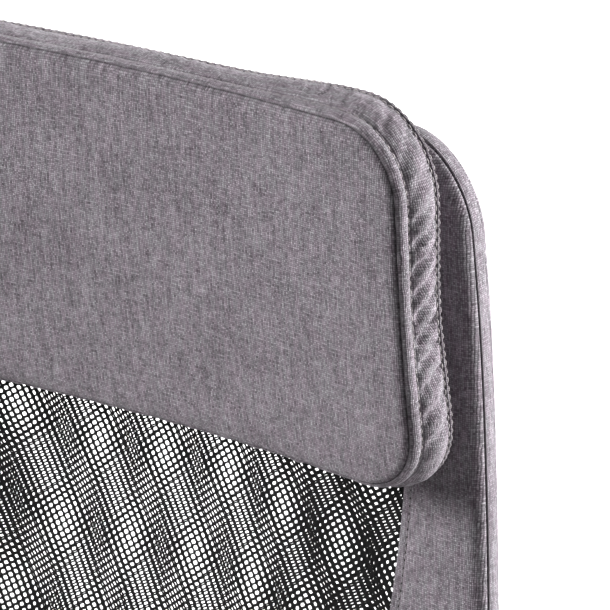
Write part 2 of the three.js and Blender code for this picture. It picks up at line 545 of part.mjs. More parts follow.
// ---------------------------------------------------------------- headrest
// y of a surface of the headrest, `behind` its face.
function headrestFace(x, z, behind) {
  const middle = (HEADREST.low + HEADREST.high) / 2;
  const centre = backFace(0, middle) - HEADREST.faceOffset;
  const lean = Math.tan(THREE.MathUtils.degToRad(HEADREST.lean)) * (middle - z);
  const bow = HEADREST.bow * (1 - ((z - middle) / (HEADREST.high - middle)) ** 2);
  return centre + lean - bow + behind - x * x / (2 * BACK.planRadius);
}

function headrest() {
  const h = HEADREST;
  const slab = (inset, behind, thick, nx, nz) => warped(nx, 1, nz, (u, v, w) => {
    const [low, high] = [h.low + inset, h.high - inset];
    const z = mix(low, high, eased(w));
    const x = (2 * u - 1) * roundedHalf(h.halfWidth - inset, low, high, h.bottomCorner, h.topCorner, z);
    return [x, headrestFace(x, z, behind + v * thick), z];
  });
  piece('headrest_pad', slab(0, 0, h.thick, 12, 10), CLOTH);
  piece('headrest_board', cut(slab(h.boardInset, h.thick + h.boardGap, h.boardThick, 10, 6), screwBores()), PLYWOOD);
}

// Where a headrest screw's head meets the upper crossbar; `side` is -1 or 1.
function screwSeat(side) {
  const x = side * HEADREST.screwX;
  const y = backFace(x, BAR.upperZ) + (BACK.depth + BAR.thick) / 2 + HEADREST.screwStandoff;
  return [x, y, BAR.upperZ];
}

function screwBores() {
  const bore = rod(HEADREST.screwRadius + GAP, -5, HEADREST.screwLength + GAP, 12).rotate([90, 0, 0]);
  return join(bore.translate(screwSeat(-1)), bore.translate(screwSeat(1)));
}

// Screws that hold the headrest's board to the upper crossbar, from behind.
function headrestScrews() {
  const shank = rod(HEADREST.screwRadius, -1, HEADREST.screwLength, 10);
  const head = rod(HEADREST.screwHead, -3, 0, 6);
  const screw = join(shank, head).rotate([90, 0, 0]);
  piece('headrest_screw_left', screw.translate(screwSeat(1)), STEEL);
  piece('headrest_screw_right', screw.translate(screwSeat(-1)), STEEL);
}

// ---------------------------------------------------------------- arms
function arms() {
  for (const [name, side] of [['left', 1], ['right', -1]]) {
    const at = (x, y, z) => new THREE.Vector3(side * x, y, z);
    const low = ARM.plateZ - ARM.tube;
    const corners = [at(ARM.seatX, ARM.frontY + 22, low), at(ARM.x, ARM.frontY + 22, low),
      at(ARM.x, ARM.frontY, ARM.topFront), at(ARM.x, ARM.rearY, ARM.topRear),
      at(ARM.x, ARM.rearY - 12, low), at(ARM.seatX, ARM.rearY - 12, low)];
    const path = bentPath(corners, ARM.bend, 5);
    const bore = sweep(overrun(path), ARM.tube - ARM.wall, 8);
    const [x0, x1] = [side * ARM.plateX, side * (ARM.seatX + 18)].sort((a, b) => a - b);
    const plate = block(x0, x1, ARM.frontY, ARM.rearY + 8, ARM.plateZ - 1, ARM.plateZ + ARM.plateThick);
    piece(`arm_frame_${name}`, cut(join(sweep(path, ARM.tube, 8), plate), bore), CHROME);

    const rise = (ARM.topRear - ARM.topFront) / (ARM.rearY - ARM.frontY);
    const pad = warped(4, 12, 1, (u, v, w) => {
      const y = mix(ARM.padFront, ARM.padRear, eased(v));
      const half = roundedHalf(ARM.padHalf, ARM.padFront, ARM.padRear, ARM.padHalf - 6, ARM.padHalf - 6, y);
      const low = ARM.topFront + ARM.tube + 1.2 + rise * (y - ARM.frontY);
      return [side * ARM.x + (2 * u - 1) * half * (w === 0 ? 0.88 : 1), y, low + ARM.padThick * w];
    });
    piece(`arm_pad_${name}`, pad, BLACK_PLASTIC);
  }
}

// ---------------------------------------------------------------- the chair
casters();
starBase();
column();
mechanism();
lever();
seat();
backFrame();
backBracket();
backCover();
headrest();
headrestScrews();
arms();

export default chair;
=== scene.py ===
"""Looks of the net-back swivel chair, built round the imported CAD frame. Metres, +Z up, the sitter faces -Y."""
import math
import random

import bmesh
import bpy
import numpy as np
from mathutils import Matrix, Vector
from mathutils.bvhtree import BVHTree
from mathutils.kdtree import KDTree


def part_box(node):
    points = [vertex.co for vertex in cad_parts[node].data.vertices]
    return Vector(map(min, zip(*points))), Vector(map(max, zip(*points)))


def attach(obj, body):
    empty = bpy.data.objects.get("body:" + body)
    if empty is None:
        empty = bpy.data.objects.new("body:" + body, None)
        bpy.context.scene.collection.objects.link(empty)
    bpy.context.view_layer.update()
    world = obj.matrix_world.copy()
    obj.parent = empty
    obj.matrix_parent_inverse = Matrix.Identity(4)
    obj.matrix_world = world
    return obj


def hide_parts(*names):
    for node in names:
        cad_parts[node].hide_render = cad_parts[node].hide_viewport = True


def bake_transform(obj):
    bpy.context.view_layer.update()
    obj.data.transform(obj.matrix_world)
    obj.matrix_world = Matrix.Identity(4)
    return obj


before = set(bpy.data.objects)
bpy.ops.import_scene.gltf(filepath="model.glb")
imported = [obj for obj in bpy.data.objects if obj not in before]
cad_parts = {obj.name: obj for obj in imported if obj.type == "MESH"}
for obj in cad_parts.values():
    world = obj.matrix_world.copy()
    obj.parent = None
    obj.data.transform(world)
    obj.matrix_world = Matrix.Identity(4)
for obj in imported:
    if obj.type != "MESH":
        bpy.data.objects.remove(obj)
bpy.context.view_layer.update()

MM = 0.001

# ---------------------------------------------------------------- cloth and net sizes
THREAD = 1.15 * MM      # pitch of the plain weave
STITCH = 5.0 * MM       # pitch of the topstitching
HEM_STITCH = 4.6 * MM   # pitch of the stitching along the hems
# Each layer of net has a lattice of holes: the step along a row, the step down a slanting column, and where one
# hole lies, in millimetres. The rear layer is stretched less, so its holes lie closer.
FRONT_NET = ((5.24, -0.46), (1.74, -3.25), (18.4, 933.6))
REAR_NET = ((4.709, -0.422), (1.622, -3.097), (1.0, 921.7))
NET_HOLE = (1.68, 1.92)  # half width and half height of a front hole, in millimetres

# ---------------------------------------------------------------- camera
AZIMUTH, ELEVATION = math.radians(34), math.radians(20)
CAMERA_DISTANCE = 2.5
AMBIENT = 0.10
LENS = 268
AIM_RIGHT, AIM_UP = 0.1178, 0.052   # from the middle of the pad's lower seam to the middle of the picture


# ---------------------------------------------------------------- small tools
def smoothstep(t):
    t = np.clip(t, 0, 1)
    return t * t * (3 - 2 * t)


def mix(a, b, t):
    return a + (b - a) * t


class Wave:
    """Seeded smooth noise of one variable, periodic over `length`, with waves from `short` to `long`."""

    def __init__(self, seed, length, short, long, count=28):
        source = random.Random(seed)
        low, high = length / long, length / short
        self.parts = []
        for _ in range(count):
            turns = max(1, round(low * (high / low) ** source.random()))
            phase = source.uniform(0, 2 * math.pi)
            self.parts.append((2 * math.pi * turns / length, phase, source.gauss(0, 1)))
        self.norm = 1 / math.sqrt(sum(a * a for _, _, a in self.parts) / 2)

    def __call__(self, s):
        return self.norm * sum(a * np.sin(k * s + phase) for k, phase, a in self.parts)


def make(name, points, faces, material, uv=None, crease_shade=None, smooth=True):
    """A mesh object from points and faces, with a per-point weave position in metres and a per-point weight of
    painted shade for seams and folds.
    """
    mesh = bpy.data.meshes.new(name)
    mesh.from_pydata([tuple(p) for p in np.asarray(points, float)], [], [tuple(f) for f in faces])
    mesh.materials.append(material)
    if uv is not None:
        layer = mesh.uv_layers.new(name="weave")
        corner = np.zeros(len(mesh.loops), np.int32)
        mesh.loops.foreach_get("vertex_index", corner)
        layer.data.foreach_set("uv", np.asarray(uv, np.float32)[corner].ravel())
    if crease_shade is not None:
        attribute = mesh.attributes.new("crease_shade", "FLOAT", "POINT")
        attribute.data.foreach_set("value", np.asarray(crease_shade, np.float32))
    mesh.polygons.foreach_set("use_smooth", [smooth] * len(mesh.polygons))
    mesh.update()
    piece = bpy.data.objects.new(name, mesh)
    bpy.context.collection.objects.link(piece)
    return piece


def ring_faces(rings, around, first_cap=False, last_cap=False):
    """Quads between successive closed rings; a cap joins a ring to one extra point at the end of the list."""
    faces = []
    for r in range(rings - 1):
        a, b = r * around, (r + 1) * around
        for i in range(around):
            j = (i + 1) % around
            faces.append((a + i, a + j, b + j, b + i))
    extra = rings * around
    if first_cap:
        faces += [(extra, (i + 1) % around, i) for i in range(around)]
        extra += 1
    if last_cap:
        a = (rings - 1) * around
        faces += [(extra, a + i, a + (i + 1) % around) for i in range(around)]
    return faces


def facing_out(piece):
    """Turns a closed mesh's faces outwards."""
    bm = bmesh.new()
    bm.from_mesh(piece.data)
    bmesh.ops.recalc_face_normals(bm, faces=bm.faces)
    bm.to_mesh(piece.data)
    bm.free()
    return piece


# ---------------------------------------------------------------- materials
class Nodes:
    """A material's node tree, built by short calls."""

    def __init__(self, name):
        self.material = bpy.data.materials.new(name)
        self.material.use_nodes = True
        self.tree = self.material.node_tree
        self.shader = self.tree.nodes["Principled BSDF"]

    def add(self, kind, inputs=(), **settings):
        node = self.tree.nodes.new(kind)
        for key, value in settings.items():
            setattr(node, key, value)
        for socket, value in dict(inputs).items():
            self.put(node.inputs[socket], value)
        return node

    def finish(self, roughness=None, specular=None, **more):
        """Sets the shader's plain values and returns the material."""
        named = {"Roughness": roughness, "Specular IOR Level": specular}
        named.update({key.replace("_", " "): value for key, value in more.items()})
        for socket, value in named.items():
            if value is not None:
                self.shader.inputs[socket].default_value = value
        return self.material

    def put(self, socket, value):
        if isinstance(value, bpy.types.NodeSocket):
            self.tree.links.new(value, socket)
        else:
            socket.default_value = value

    def math(self, operation, a, b=0.0, c=0.0):
        return self.add("ShaderNodeMath", {0: a, 1: b, 2: c}, operation=operation).outputs[0]

    def vector(self, x, y, z=0.0):
        return self.add("ShaderNodeCombineXYZ", {0: x, 1: y, 2: z}).outputs[0]

    def noise(self, vector, scale=1.0, detail=2.0, roughness=0.5):
        node = self.add("ShaderNodeTexNoise", {"Vector": vector, "Scale": scale, "Detail": detail,
                                               "Roughness": roughness})
        return node.outputs["Fac"]

    def ramp(self, fac, stops):
        node = self.add("ShaderNodeValToRGB", {"Fac": fac})
        elements = node.color_ramp.elements
        while len(elements) < len(stops):
            elements.new(0.5)
        for element, (position, colour) in zip(elements, stops):
            element.position = position
            element.color = (*colour, 1) if len(colour) == 3 else colour
        return node.outputs["Color"]

    def scaled(self, colour, factor):
        node = self.add("ShaderNodeMix", {"Factor": 1.0}, data_type="RGBA", blend_type="MULTIPLY")
        self.put(node.inputs[6], colour)
        self.put(node.inputs[7], factor)
        return node.outputs[2]

    def bump(self, height, strength, distance):
        node = self.add("ShaderNodeBump", {"Height": height, "Strength": strength, "Distance": distance})
        self.put(self.shader.inputs["Normal"], node.outputs["Normal"])


def cloth_material(name):
    """Grey melange plain weave. The weave lies on the piece's "weave" UVs, which are in metres."""
    n = Nodes(name)
    place = n.add("ShaderNodeUVMap", uv_map="weave").outputs["UV"]
    split = n.add("ShaderNodeSeparateXYZ", {0: place}).outputs
    x, y = split[0], split[1]
    drift_x = n.math("MULTIPLY", n.math("SUBTRACT", n.noise(place, 130, 1), 0.5), 0.0011)
    drift_y = n.math("MULTIPLY", n.math("SUBTRACT", n.noise(place, 95, 1), 0.5), 0.0014)
    u = n.math("DIVIDE", n.math("ADD", x, drift_x), THREAD)
    v = n.math("DIVIDE", n.math("ADD", y, drift_y), THREAD)
    warp, weft = n.math("FLOOR", u), n.math("FLOOR", v)
    over = n.math("FLOORED_MODULO", n.math("ADD", warp, weft), 2.0)
    arch_u = n.math("SINE", n.math("MULTIPLY", n.math("FRACT", u), math.pi))
    arch_v = n.math("SINE", n.math("MULTIPLY", n.math("FRACT", v), math.pi))
    half_u = n.math("MULTIPLY_ADD", arch_u, 0.5, 0.5)
    half_v = n.math("MULTIPLY_ADD", arch_v, 0.5, 0.5)
    warp_height = n.math("MULTIPLY", arch_u, half_v)
    weft_height = n.math("MULTIPLY", arch_v, half_u)
    height = n.add("ShaderNodeMix", {0: over, 2: warp_height, 3: weft_height}).outputs[0]

    warp_tone = n.noise(n.vector(n.math("MULTIPLY", warp, 1.7), n.math("MULTIPLY", y, 210), 3.1), 1, 2, 0.5)
    weft_tone = n.noise(n.vector(n.math("MULTIPLY", x, 230), n.math("MULTIPLY", weft, 1.7), 7.7), 1, 2, 0.5)
    tone = n.add("ShaderNodeMix", {0: over, 2: warp_tone, 3: weft_tone}).outputs[0]
    slub = n.noise(n.vector(n.math("MULTIPLY", x, 700), n.math("MULTIPLY", y, 42), 1.3), 1, 2, 0.6)
    cloud = n.noise(place, 22, 2)
    tone = n.math("ADD", n.math("MULTIPLY", tone, 0.70), n.math("MULTIPLY", slub, 0.30))
    tone = n.math("ADD", tone, n.math("MULTIPLY", n.math("SUBTRACT", cloud, 0.5), 0.12))
    colour = n.ramp(tone, [(0.30, (0.085, 0.071, 0.082)),
                           (0.44, (0.185, 0.162, 0.184)),
                           (0.56, (0.30, 0.272, 0.30)),
                           (0.70, (0.43, 0.40, 0.43))])
    # Pink-grey and green-grey yarns lie in uneven bands.
    band = n.noise(n.vector(n.math("MULTIPLY", x, 420), n.math("MULTIPLY", y, 110), 5.5), 1, 2, 0.5)
    tint = n.ramp(band, [(0.38, (1.03, 0.975, 1.01)), (0.62, (0.965, 1.005, 0.985))])
    colour = n.scaled(colour, tint)
    # Painted shade: each thread is darker where it dips under its neighbour.
    shade = n.math("MULTIPLY_ADD", height, 0.78, 0.40)
    # Painted shade: the crease weight darkens the cloth along seams and folds.
    crease_shade = n.add("ShaderNodeAttribute", attribute_name="crease_shade").outputs["Fac"]
    shade = n.math("MULTIPLY", shade, n.math("MULTIPLY_ADD", crease_shade, -0.75, 1.0))
    grey = n.add("ShaderNodeCombineColor", {0: shade, 1: shade, 2: shade}).outputs[0]
    n.put(n.shader.inputs["Base Color"], n.scaled(colour, grey))
    fuzz = n.noise(place, 2600, 2)
    n.bump(n.math("ADD", height, n.math("MULTIPLY", fuzz, 0.35)), 0.75, 0.00035)
    return n.finish(0.95, 0.15, Sheen_Weight=0.12, Sheen_Roughness=0.5)


def net_material():
    n = Nodes("net_yarn")
    place = n.add("ShaderNodeTexCoord").outputs["Object"]
    fine = n.noise(place, 2400, 2)
    shades = n.ramp(fine, [(0.3, (0.002, 0.002, 0.0022)), (0.75, (0.009, 0.0085, 0.009))])
    n.put(n.shader.inputs["Base Color"], shades)
    n.bump(fine, 0.6, 0.0003)
    return n.finish(0.7, 0.1)


def thread_material(name, dark, light):
    n = Nodes(name)
    place = n.add("ShaderNodeTexCoord").outputs["Object"]
    n.put(n.shader.inputs["Base Color"], n.ramp(n.noise(place, 1500, 2), [(0.3, dark), (0.7, light)]))
    n.bump(n.noise(place, 4000, 1), 0.5, 0.0002)
    return n.finish(0.7)


CLOTH = cloth_material("melange_cloth")
NET = net_material()
THREAD_LIGHT = thread_material("stitch_thread", (0.16, 0.145, 0.155), (0.36, 0.34, 0.35))
THREAD_CLOTH = thread_material("matched_thread", (0.20, 0.175, 0.18), (0.42, 0.385, 0.39))
# The dark pieces in the needle holes are painted shade; no holes are cut.
NEEDLE_HOLE_SHADE = thread_material("needle_hole_shade", (0.012, 0.01, 0.011), (0.03, 0.026, 0.028))


# ---------------------------------------------------------------- surfaces of the frame
def node_points(*names):
    return np.array([v.co[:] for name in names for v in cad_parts[name].data.vertices])


def fit_back():
    """The back's front face as a smooth y(x, z), fitted to the front net and the tube behind the edging."""
    net, tube = node_points("net_front"), node_points("back_frame")
    spots = np.vstack([net - (0, 1.0 * MM, 0), tube - (0, 13 * MM, 0)])
    x, y, z = spots.T
    middle, half = (z.min() + z.max()) / 2, (z.max() - z.min()) / 2
    t = (z - middle) / half
    columns = np.vstack([t ** k for k in range(9)] + [x * x]).T
    solution = np.linalg.lstsq(columns, y, rcond=None)[0]
    line, bow = solution[:9], solution[9]

    def surface(x, z, behind=0.0):
        t = np.clip((np.asarray(z) - middle) / half, -1.02, 1.02)
        return sum(c * t ** k for k, c in enumerate(line)) + bow * np.asarray(x) ** 2 + behind

    return surface


def fit_headrest():
    """The headrest's face as y(x, z), and its thickness, from the CAD pad's points."""
    x, y, z = node_points("headrest_pad").T
    centre = (z.min() + z.max()) / 2

    def terms(x, z):
        x, rise = np.broadcast_arrays(np.asarray(x, float), np.asarray(z, float) - centre)
        return np.array([np.ones_like(x), rise, rise ** 2, x ** 2])

    solution = np.linalg.lstsq(terms(x, z).T, y, rcond=None)[0]
    half = np.abs(y - solution @ terms(x, z)).mean()

    def surface(x, z, behind=0.0):
        return np.tensordot(solution, terms(x, z), 1) - half + behind

    return surface, 2 * half


back_y = fit_back()
pad_y, PAD_THICK = fit_headrest()
PAD_LOW, PAD_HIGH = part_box("headrest_pad")
BACK_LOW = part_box("edging_bottom")[0].z
BACK_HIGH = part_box("edging_top")[1].z
BACK_HALF_STRAIGHT = 231.5 * MM


# ---------------------------------------------------------------- outlines
def corner_arcs(half, low, high, low_corner, high_corner):
    """Each corner of a rounded rectangle: its centre's x and z, its radius, and its arc's start in degrees."""
    return [(half - low_corner, low + low_corner, low_corner, -90),
            (half - high_corner, high - high_corner, high_corner, 0),
            (-half + high_corner, high - high_corner, high_corner, 90),
            (-half + low_corner, low + low_corner, low_corner, 180)]


def rounded_outline(half, low, high, low_corner, high_corner, count):
    """`count` points evenly round a rounded rectangle in x and z, from the bottom's middle towards +X, with
    outward normals and the distance run."""
    dense = []
    for x, z, radius, start in corner_arcs(half, low, high, low_corner, high_corner):
        for i in range(25):
            angle = math.radians(start + 90 * i / 24)
            dense.append((x + radius * math.cos(angle), z + radius * math.sin(angle)))
    dense = np.array([(0, low)] + dense + [(0, low)])
    steps = np.hypot(*np.diff(dense, axis=0).T)
    run = np.concatenate([[0], np.cumsum(steps)])
    s = np.linspace(0, run[-1], count, endpoint=False)
    points = np.column_stack([np.interp(s, run, dense[:, 0]), np.interp(s, run, dense[:, 1])])
    tangent = np.roll(points, -1, 0) - np.roll(points, 1, 0)
    tangent /= np.linalg.norm(tangent, axis=1)[:, None]
    normal = np.column_stack([tangent[:, 1], -tangent[:, 0]])
    return points, normal, s, run[-1]


# ---------------------------------------------------------------- stitching
def stitches(name, path, outward, pitch, length, radius, material, lift=0.0, phase=0.0):
    """A row of short threads along a path of points, each lying along it and standing a little proud."""
    path, outward = np.asarray(path), np.asarray(outward)
    steps = np.linalg.norm(np.diff(path, axis=0), axis=1)
    run = np.concatenate([[0], np.cumsum(steps)])
    sections, sides = 5, 6
    points, faces = [], []
    for s in np.arange(pitch * (0.5 + phase), run[-1] - pitch * 0.5, pitch):
        at = [np.interp(s + k, run, path[:, a]) for k in (-length / 2, length / 2) for a in range(3)]
        start, end = np.array(at[:3]), np.array(at[3:])
        along = (end - start) / np.linalg.norm(end - start)
        up = np.array([np.interp(s, run, outward[:, a]) for a in range(3)])
        up -= along * up.dot(along)
        up /= np.linalg.norm(up)
        side = np.cross(along, up)
        base = len(points)
        for k in range(sections):
            t = k / (sections - 1)
            swell = math.sin(math.pi * (0.08 + 0.84 * t)) ** 0.5
            middle = start + (end - start) * t + up * (lift + radius * 0.6 * math.sin(math.pi * t))
            for q in range(sides):
                angle = 2 * math.pi * q / sides
                points.append(middle + radius * swell * (math.cos(angle) * side + 0.8 * math.sin(angle) * up))
        for k in range(sections - 1):
            for q in range(sides):
                a, b = base + k * sides + q, base + k * sides + (q + 1) % sides
                faces.append((a, b, b + sides, a + sides))
        faces.append(tuple(base + q for q in reversed(range(sides))))
        faces.append(tuple(base + (sections - 1) * sides + q for q in range(sides)))
    return facing_out(make(name, points, faces, material))


def ride(piece, body):
    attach(piece, body)
    return piece


def sewn_row(name, path, outward, pitch, thread, holes):
    """A row of threads and, between them, dark pieces in the needle holes as painted shade, each given by length,
    radius, material and lift.
    """
    ride(stitches(name.format("topstitch"), path, outward, pitch, *thread), "seat")
    ride(stitches(name.format("needle_hole_shades"), path, outward, pitch, *holes, 0.5), "seat")


# ---------------------------------------------------------------- headrest pad
PAD_SEAM_INSET = 4 * MM
PAD_TOP_CORNER, PAD_LOW_CORNER = 39 * MM, 39 * MM
PAD_SEAM_DEPTH = 4.5 * MM
PAD_AROUND = 620


def headrest_pad():
    """Front panel, boxing band and rear panel, with seam grooves between them and puckers on the boxing."""
    half = PAD_HIGH.x - PAD_SEAM_INSET
    outline, normal, s, length = rounded_outline(half, PAD_LOW.z + PAD_SEAM_INSET, PAD_HIGH.z - PAD_SEAM_INSET,
                                                 PAD_LOW_CORNER, PAD_TOP_CORNER, PAD_AROUND)
    middle = np.array([0, (PAD_LOW.z + PAD_HIGH.z) / 2])
    # The right-hand boxing is the slackest, so its puckers are the deepest.
    slack = 0.22 + 0.78 * np.exp(-(((outline[:, 0] - half) / 0.03) ** 2)
                                 - ((outline[:, 1] - mix(PAD_LOW.z, PAD_HIGH.z, 0.52)) / 0.075) ** 2)
    right_side = np.exp(-(((outline[:, 0] - half) / (20 * MM)) ** 2))
    fold = Wave(3, length, 11 * MM, 24 * MM)
    fine = Wave(5, length, 5 * MM, 10 * MM)
    gather = Wave(8, length, 9 * MM, 30 * MM)
    belly = Wave(11, length, 60 * MM, 240 * MM, 12)

    # Front panel: rings from near the middle out to the seam, crowned and a little gathered at the edge.
    rings, uvs, crease_shades = [], [], []

    # Each ring carries a weight of painted shade, dark in the seam grooves and the topstitch valley.
    def ring(offset, behind, crease_shade=0.0, scale=None, uv_shift=None):
        if scale is None:
            spots = outline + normal * np.reshape(offset, (-1, 1))
        else:
            spots = middle + (outline - middle) * scale
        x, z = spots[:, 0], spots[:, 1]
        rings.append(np.column_stack([x, pad_y(x, z, behind), z]))
        uvs.append(spots if uv_shift is None else uv_shift)
        crease_shades.append(np.broadcast_to(crease_shade, (PAD_AROUND,)))

    front_rings = 36
    for k in range(front_rings):
        scale = ((k + 0.5) / front_rings) ** 0.75 * 0.994
        gap = half * (1 - scale)
        fall = math.exp(-gap / (7 * MM))
        valley = 1.1 * MM * math.exp(-((gap - 11 * MM) / (4 * MM)) ** 2) * right_side
        crown = mix(0.3 * MM, PAD_SEAM_DEPTH - 0.9 * MM, fall)
        ring(0, crown + 0.25 * MM * gather(s) * math.exp(-gap / (12 * MM)) + valley, 0.0, scale)
    bite = 0.5 + 0.5 * np.cos(2 * math.pi * s / (STITCH / 2))
    ring(-0.45 * MM, PAD_SEAM_DEPTH - 0.4 * MM - 0.12 * MM * bite, 0.1)
    # The seam is pulled in deepest along the right-hand side, and its painted shade is darkest there.
    pull = 0.55 + 0.45 * np.exp(-(((outline[:, 0] - half) / (70 * MM)) ** 2))
    ring(-0.2 * MM, PAD_SEAM_DEPTH + 0.5 * MM * pull, pull * (0.75 + 0.25 * bite))
    ring(0.15 * MM, PAD_SEAM_DEPTH + 0.6 * MM * pull, pull * (0.75 + 0.25 * bite))
    ring(0.7 * MM + 0.12 * MM * bite, PAD_SEAM_DEPTH - 0.1 * MM, 0.1)
    # Boxing: its depth runs from the front seam to the rear one. It is fullest at the corners.
    corner_x, corner_z = half - PAD_LOW_CORNER, PAD_HIGH.z - middle[1] - PAD_SEAM_INSET - PAD_LOW_CORNER
    corners = np.array([(i * corner_x, middle[1] + j * corner_z) for i in (-1, 1) for j in (-1, 1)])
    full = sum(np.exp(-(((outline - c) ** 2).sum(1) - PAD_LOW_CORNER ** 2) / (60 * MM) ** 2) for c in corners)
    puff = (0.3 + 6.6 * np.minimum(full, 1.05)) * MM
    rows, deep, row_depth = 34, 28.5 * MM, 8 * MM
    for k in range(rows):
        t = k / (rows - 1)
        run = deep * t
        behind = PAD_SEAM_DEPTH + 0.3 * MM + run
        first = 1.5 * MM * math.sin(math.pi * min(1, run / row_depth)) ** 0.6
        second = 3.0 * MM * math.sin(math.pi * min(1, max(0, (run - row_depth) / (deep - row_depth)))) ** 0.7
        swell = 0.9 * MM + (puff - 0.9 * MM) * t ** 0.8 + first + second * (1 + 0.15 * belly(s))
        row = math.exp(-(((run - row_depth) / (0.8 * MM)) ** 2))
        loose = smoothstep((run - row_depth) / (5 * MM)) * smoothstep((deep - run) / (5 * MM))
        # Folds are narrow valleys between broad rolls.
        wave = fold(s - 0.6 * run)
        folds = 1.45 * MM * slack * (np.tanh(1.3 * wave) - 0.3 * wave ** 2)
        pucker = (folds + 0.16 * MM * fine(s - 0.2 * run)) * loose
        gathered = 0.3 * MM * gather(s) * math.exp(-run / (5 * MM))
        # The topstitch valley gets a little painted shade.
        ring(swell - 0.45 * MM * row + pucker + gathered, behind, 0.08 * row, None,
             np.column_stack([behind + np.zeros_like(s), s]))
    # Rear seam: a narrow ridge with a row of stitches on either side, then the flat rear panel. Each of its rings
    # is given by how far out it stands, how far behind it lies and its painted shade, darkest in the grooves
    # either side of the ridge.
    edge = PAD_SEAM_DEPTH + deep
    for out, behind, crease_shade in ((-0.7, 0.9, 0.5), (0.3, 1.6, 0.0), (0.9, 2.3, 0.1), (0.2, 3.1, 0.4),
                                (-0.6, 3.9, 0.1), (-1.6, 4.8, 0.0)):
        ring(puff + out * MM, min(edge + behind * MM, PAD_THICK), crease_shade, None,
             np.column_stack([np.full_like(s, edge + behind * MM), s]))
    for scale in (0.975, 0.93, 0.8, 0.6, 0.35, 0.12):
        ring(0, PAD_THICK, 0.0, scale)
    rings = np.array(rings)
    count = len(rings)
    centre_front = (0, float(pad_y(0, middle[1], 0.3 * MM)), middle[1])
    centre_rear = (0, float(pad_y(0, middle[1], PAD_THICK)), middle[1])
    points = np.vstack([rings.reshape(-1, 3), centre_front, centre_rear])
    uv = np.vstack([np.vstack(uvs), middle, middle])
    crease_shade = np.concatenate([np.concatenate(crease_shades), [0, 0]])
    faces = ring_faces(count, PAD_AROUND, True, True)
    pad = facing_out(make("headrest_cushion", points, faces, CLOTH, uv, crease_shade))
    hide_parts("headrest_pad")
    ride(pad, "seat")

    # Topstitching on the boxing, 8 mm behind the front seam, and on both sides of the rear seam, each row with
    # dark pieces in its needle holes as painted shade.
    first = front_rings + 4
    outward = np.column_stack([normal[:, 0], np.zeros(PAD_AROUND), normal[:, 1]])
    outward = np.vstack([outward, outward[:1]])
    sewn = (first + round(row_depth / deep * (rows - 1)), first + rows - 2, first + rows + 3)
    for k, ring_index in enumerate(sewn):
        path = np.vstack([rings[ring_index], rings[ring_index][:1]])
        hole = (0.45 if k == 0 else 0.25) * MM
        sewn_row(f"headrest_{{}}_{k + 1}", path, outward, STITCH, (3.4 * MM, 0.42 * MM, THREAD_CLOTH, 0.2 * MM),
                 (1.2 * MM, hole, NEEDLE_HOLE_SHADE, -0.05 * MM))


# ---------------------------------------------------------------- net window and cloth edging
NET_LOW, NET_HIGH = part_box("net_front")[0].z - 2 * MM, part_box("net_front")[1].z + 2 * MM
WINDOW_HALF, WINDOW_WAIST, WINDOW_CORNER = 192 * MM, 168 * MM, 28 * MM
WAIST_Z, WAIST_SPREAD = 0.760, 0.150
BELLY, BELLY_Z, BELLY_SPREAD = 0.09, 0.700, 0.300
BACK_TOP_CORNER, BACK_LOW_CORNER = 48 * MM, 70 * MM
BACK_DEPTH = 26 * MM


def bellied(x, z):
    """x moved out for the back's slightly wider middle."""
    return x * (1 + BELLY * np.exp(-(((z - BELLY_Z) / BELLY_SPREAD) ** 2)))


def window_scale(z):
    """How much narrower the window is at height z than at its widest."""
    return 1 - (WINDOW_HALF - WINDOW_WAIST) / WINDOW_HALF * np.exp(-(((z - WAIST_Z) / WAIST_SPREAD) ** 2))


def rounded_turn(half, low, high, low_corner, high_corner, turn):
    """A point [x, z] on a rounded rectangle at `turn`, 0 to 4, which starts half way round the corner at the
    bottom right and goes up. Corners take a fifth of each quarter at either end."""
    quarter, part = int(turn) % 4, turn - int(turn)
    corners = corner_arcs(half, low, high, low_corner, high_corner)
    x0, z0, r0, start0 = corners[quarter]
    x1, z1, r1, start1 = corners[(quarter + 1) % 4]
    if part < 0.2:
        angle = math.radians(start0 + 45 + 45 * part / 0.2)
        return x0 + r0 * math.cos(angle), z0 + r0 * math.sin(angle)
    if part > 0.8:
        angle = math.radians(start1 + 45 * (part - 0.8) / 0.2)
        return x1 + r1 * math.cos(angle), z1 + r1 * math.sin(angle)
    t = (part - 0.2) / 0.6
    a0, a1 = math.radians(start0 + 90), math.radians(start1)
    return (mix(x0 + r0 * math.cos(a0), x1 + r1 * math.cos(a1), t),
            mix(z0 + r0 * math.sin(a0), z1 + r1 * math.sin(a1), t))


EDGE_AROUND = 960


def even_turns():
    """Turn values that step evenly round the back's outer edge."""
    dense = np.linspace(0, 4, 4001)
    spots = np.array([rounded_turn(BACK_HALF_STRAIGHT, BACK_LOW, BACK_HIGH, BACK_LOW_CORNER, BACK_TOP_CORNER, t)
                      for t in dense[:-1]])
    spots = np.vstack([spots, spots[:1]])
    run = np.concatenate([[0], np.cumsum(np.hypot(*np.diff(spots, axis=0).T))])
    s = np.linspace(0, run[-1], EDGE_AROUND, endpoint=False)
    return np.interp(s, run, dense), s, run[-1]


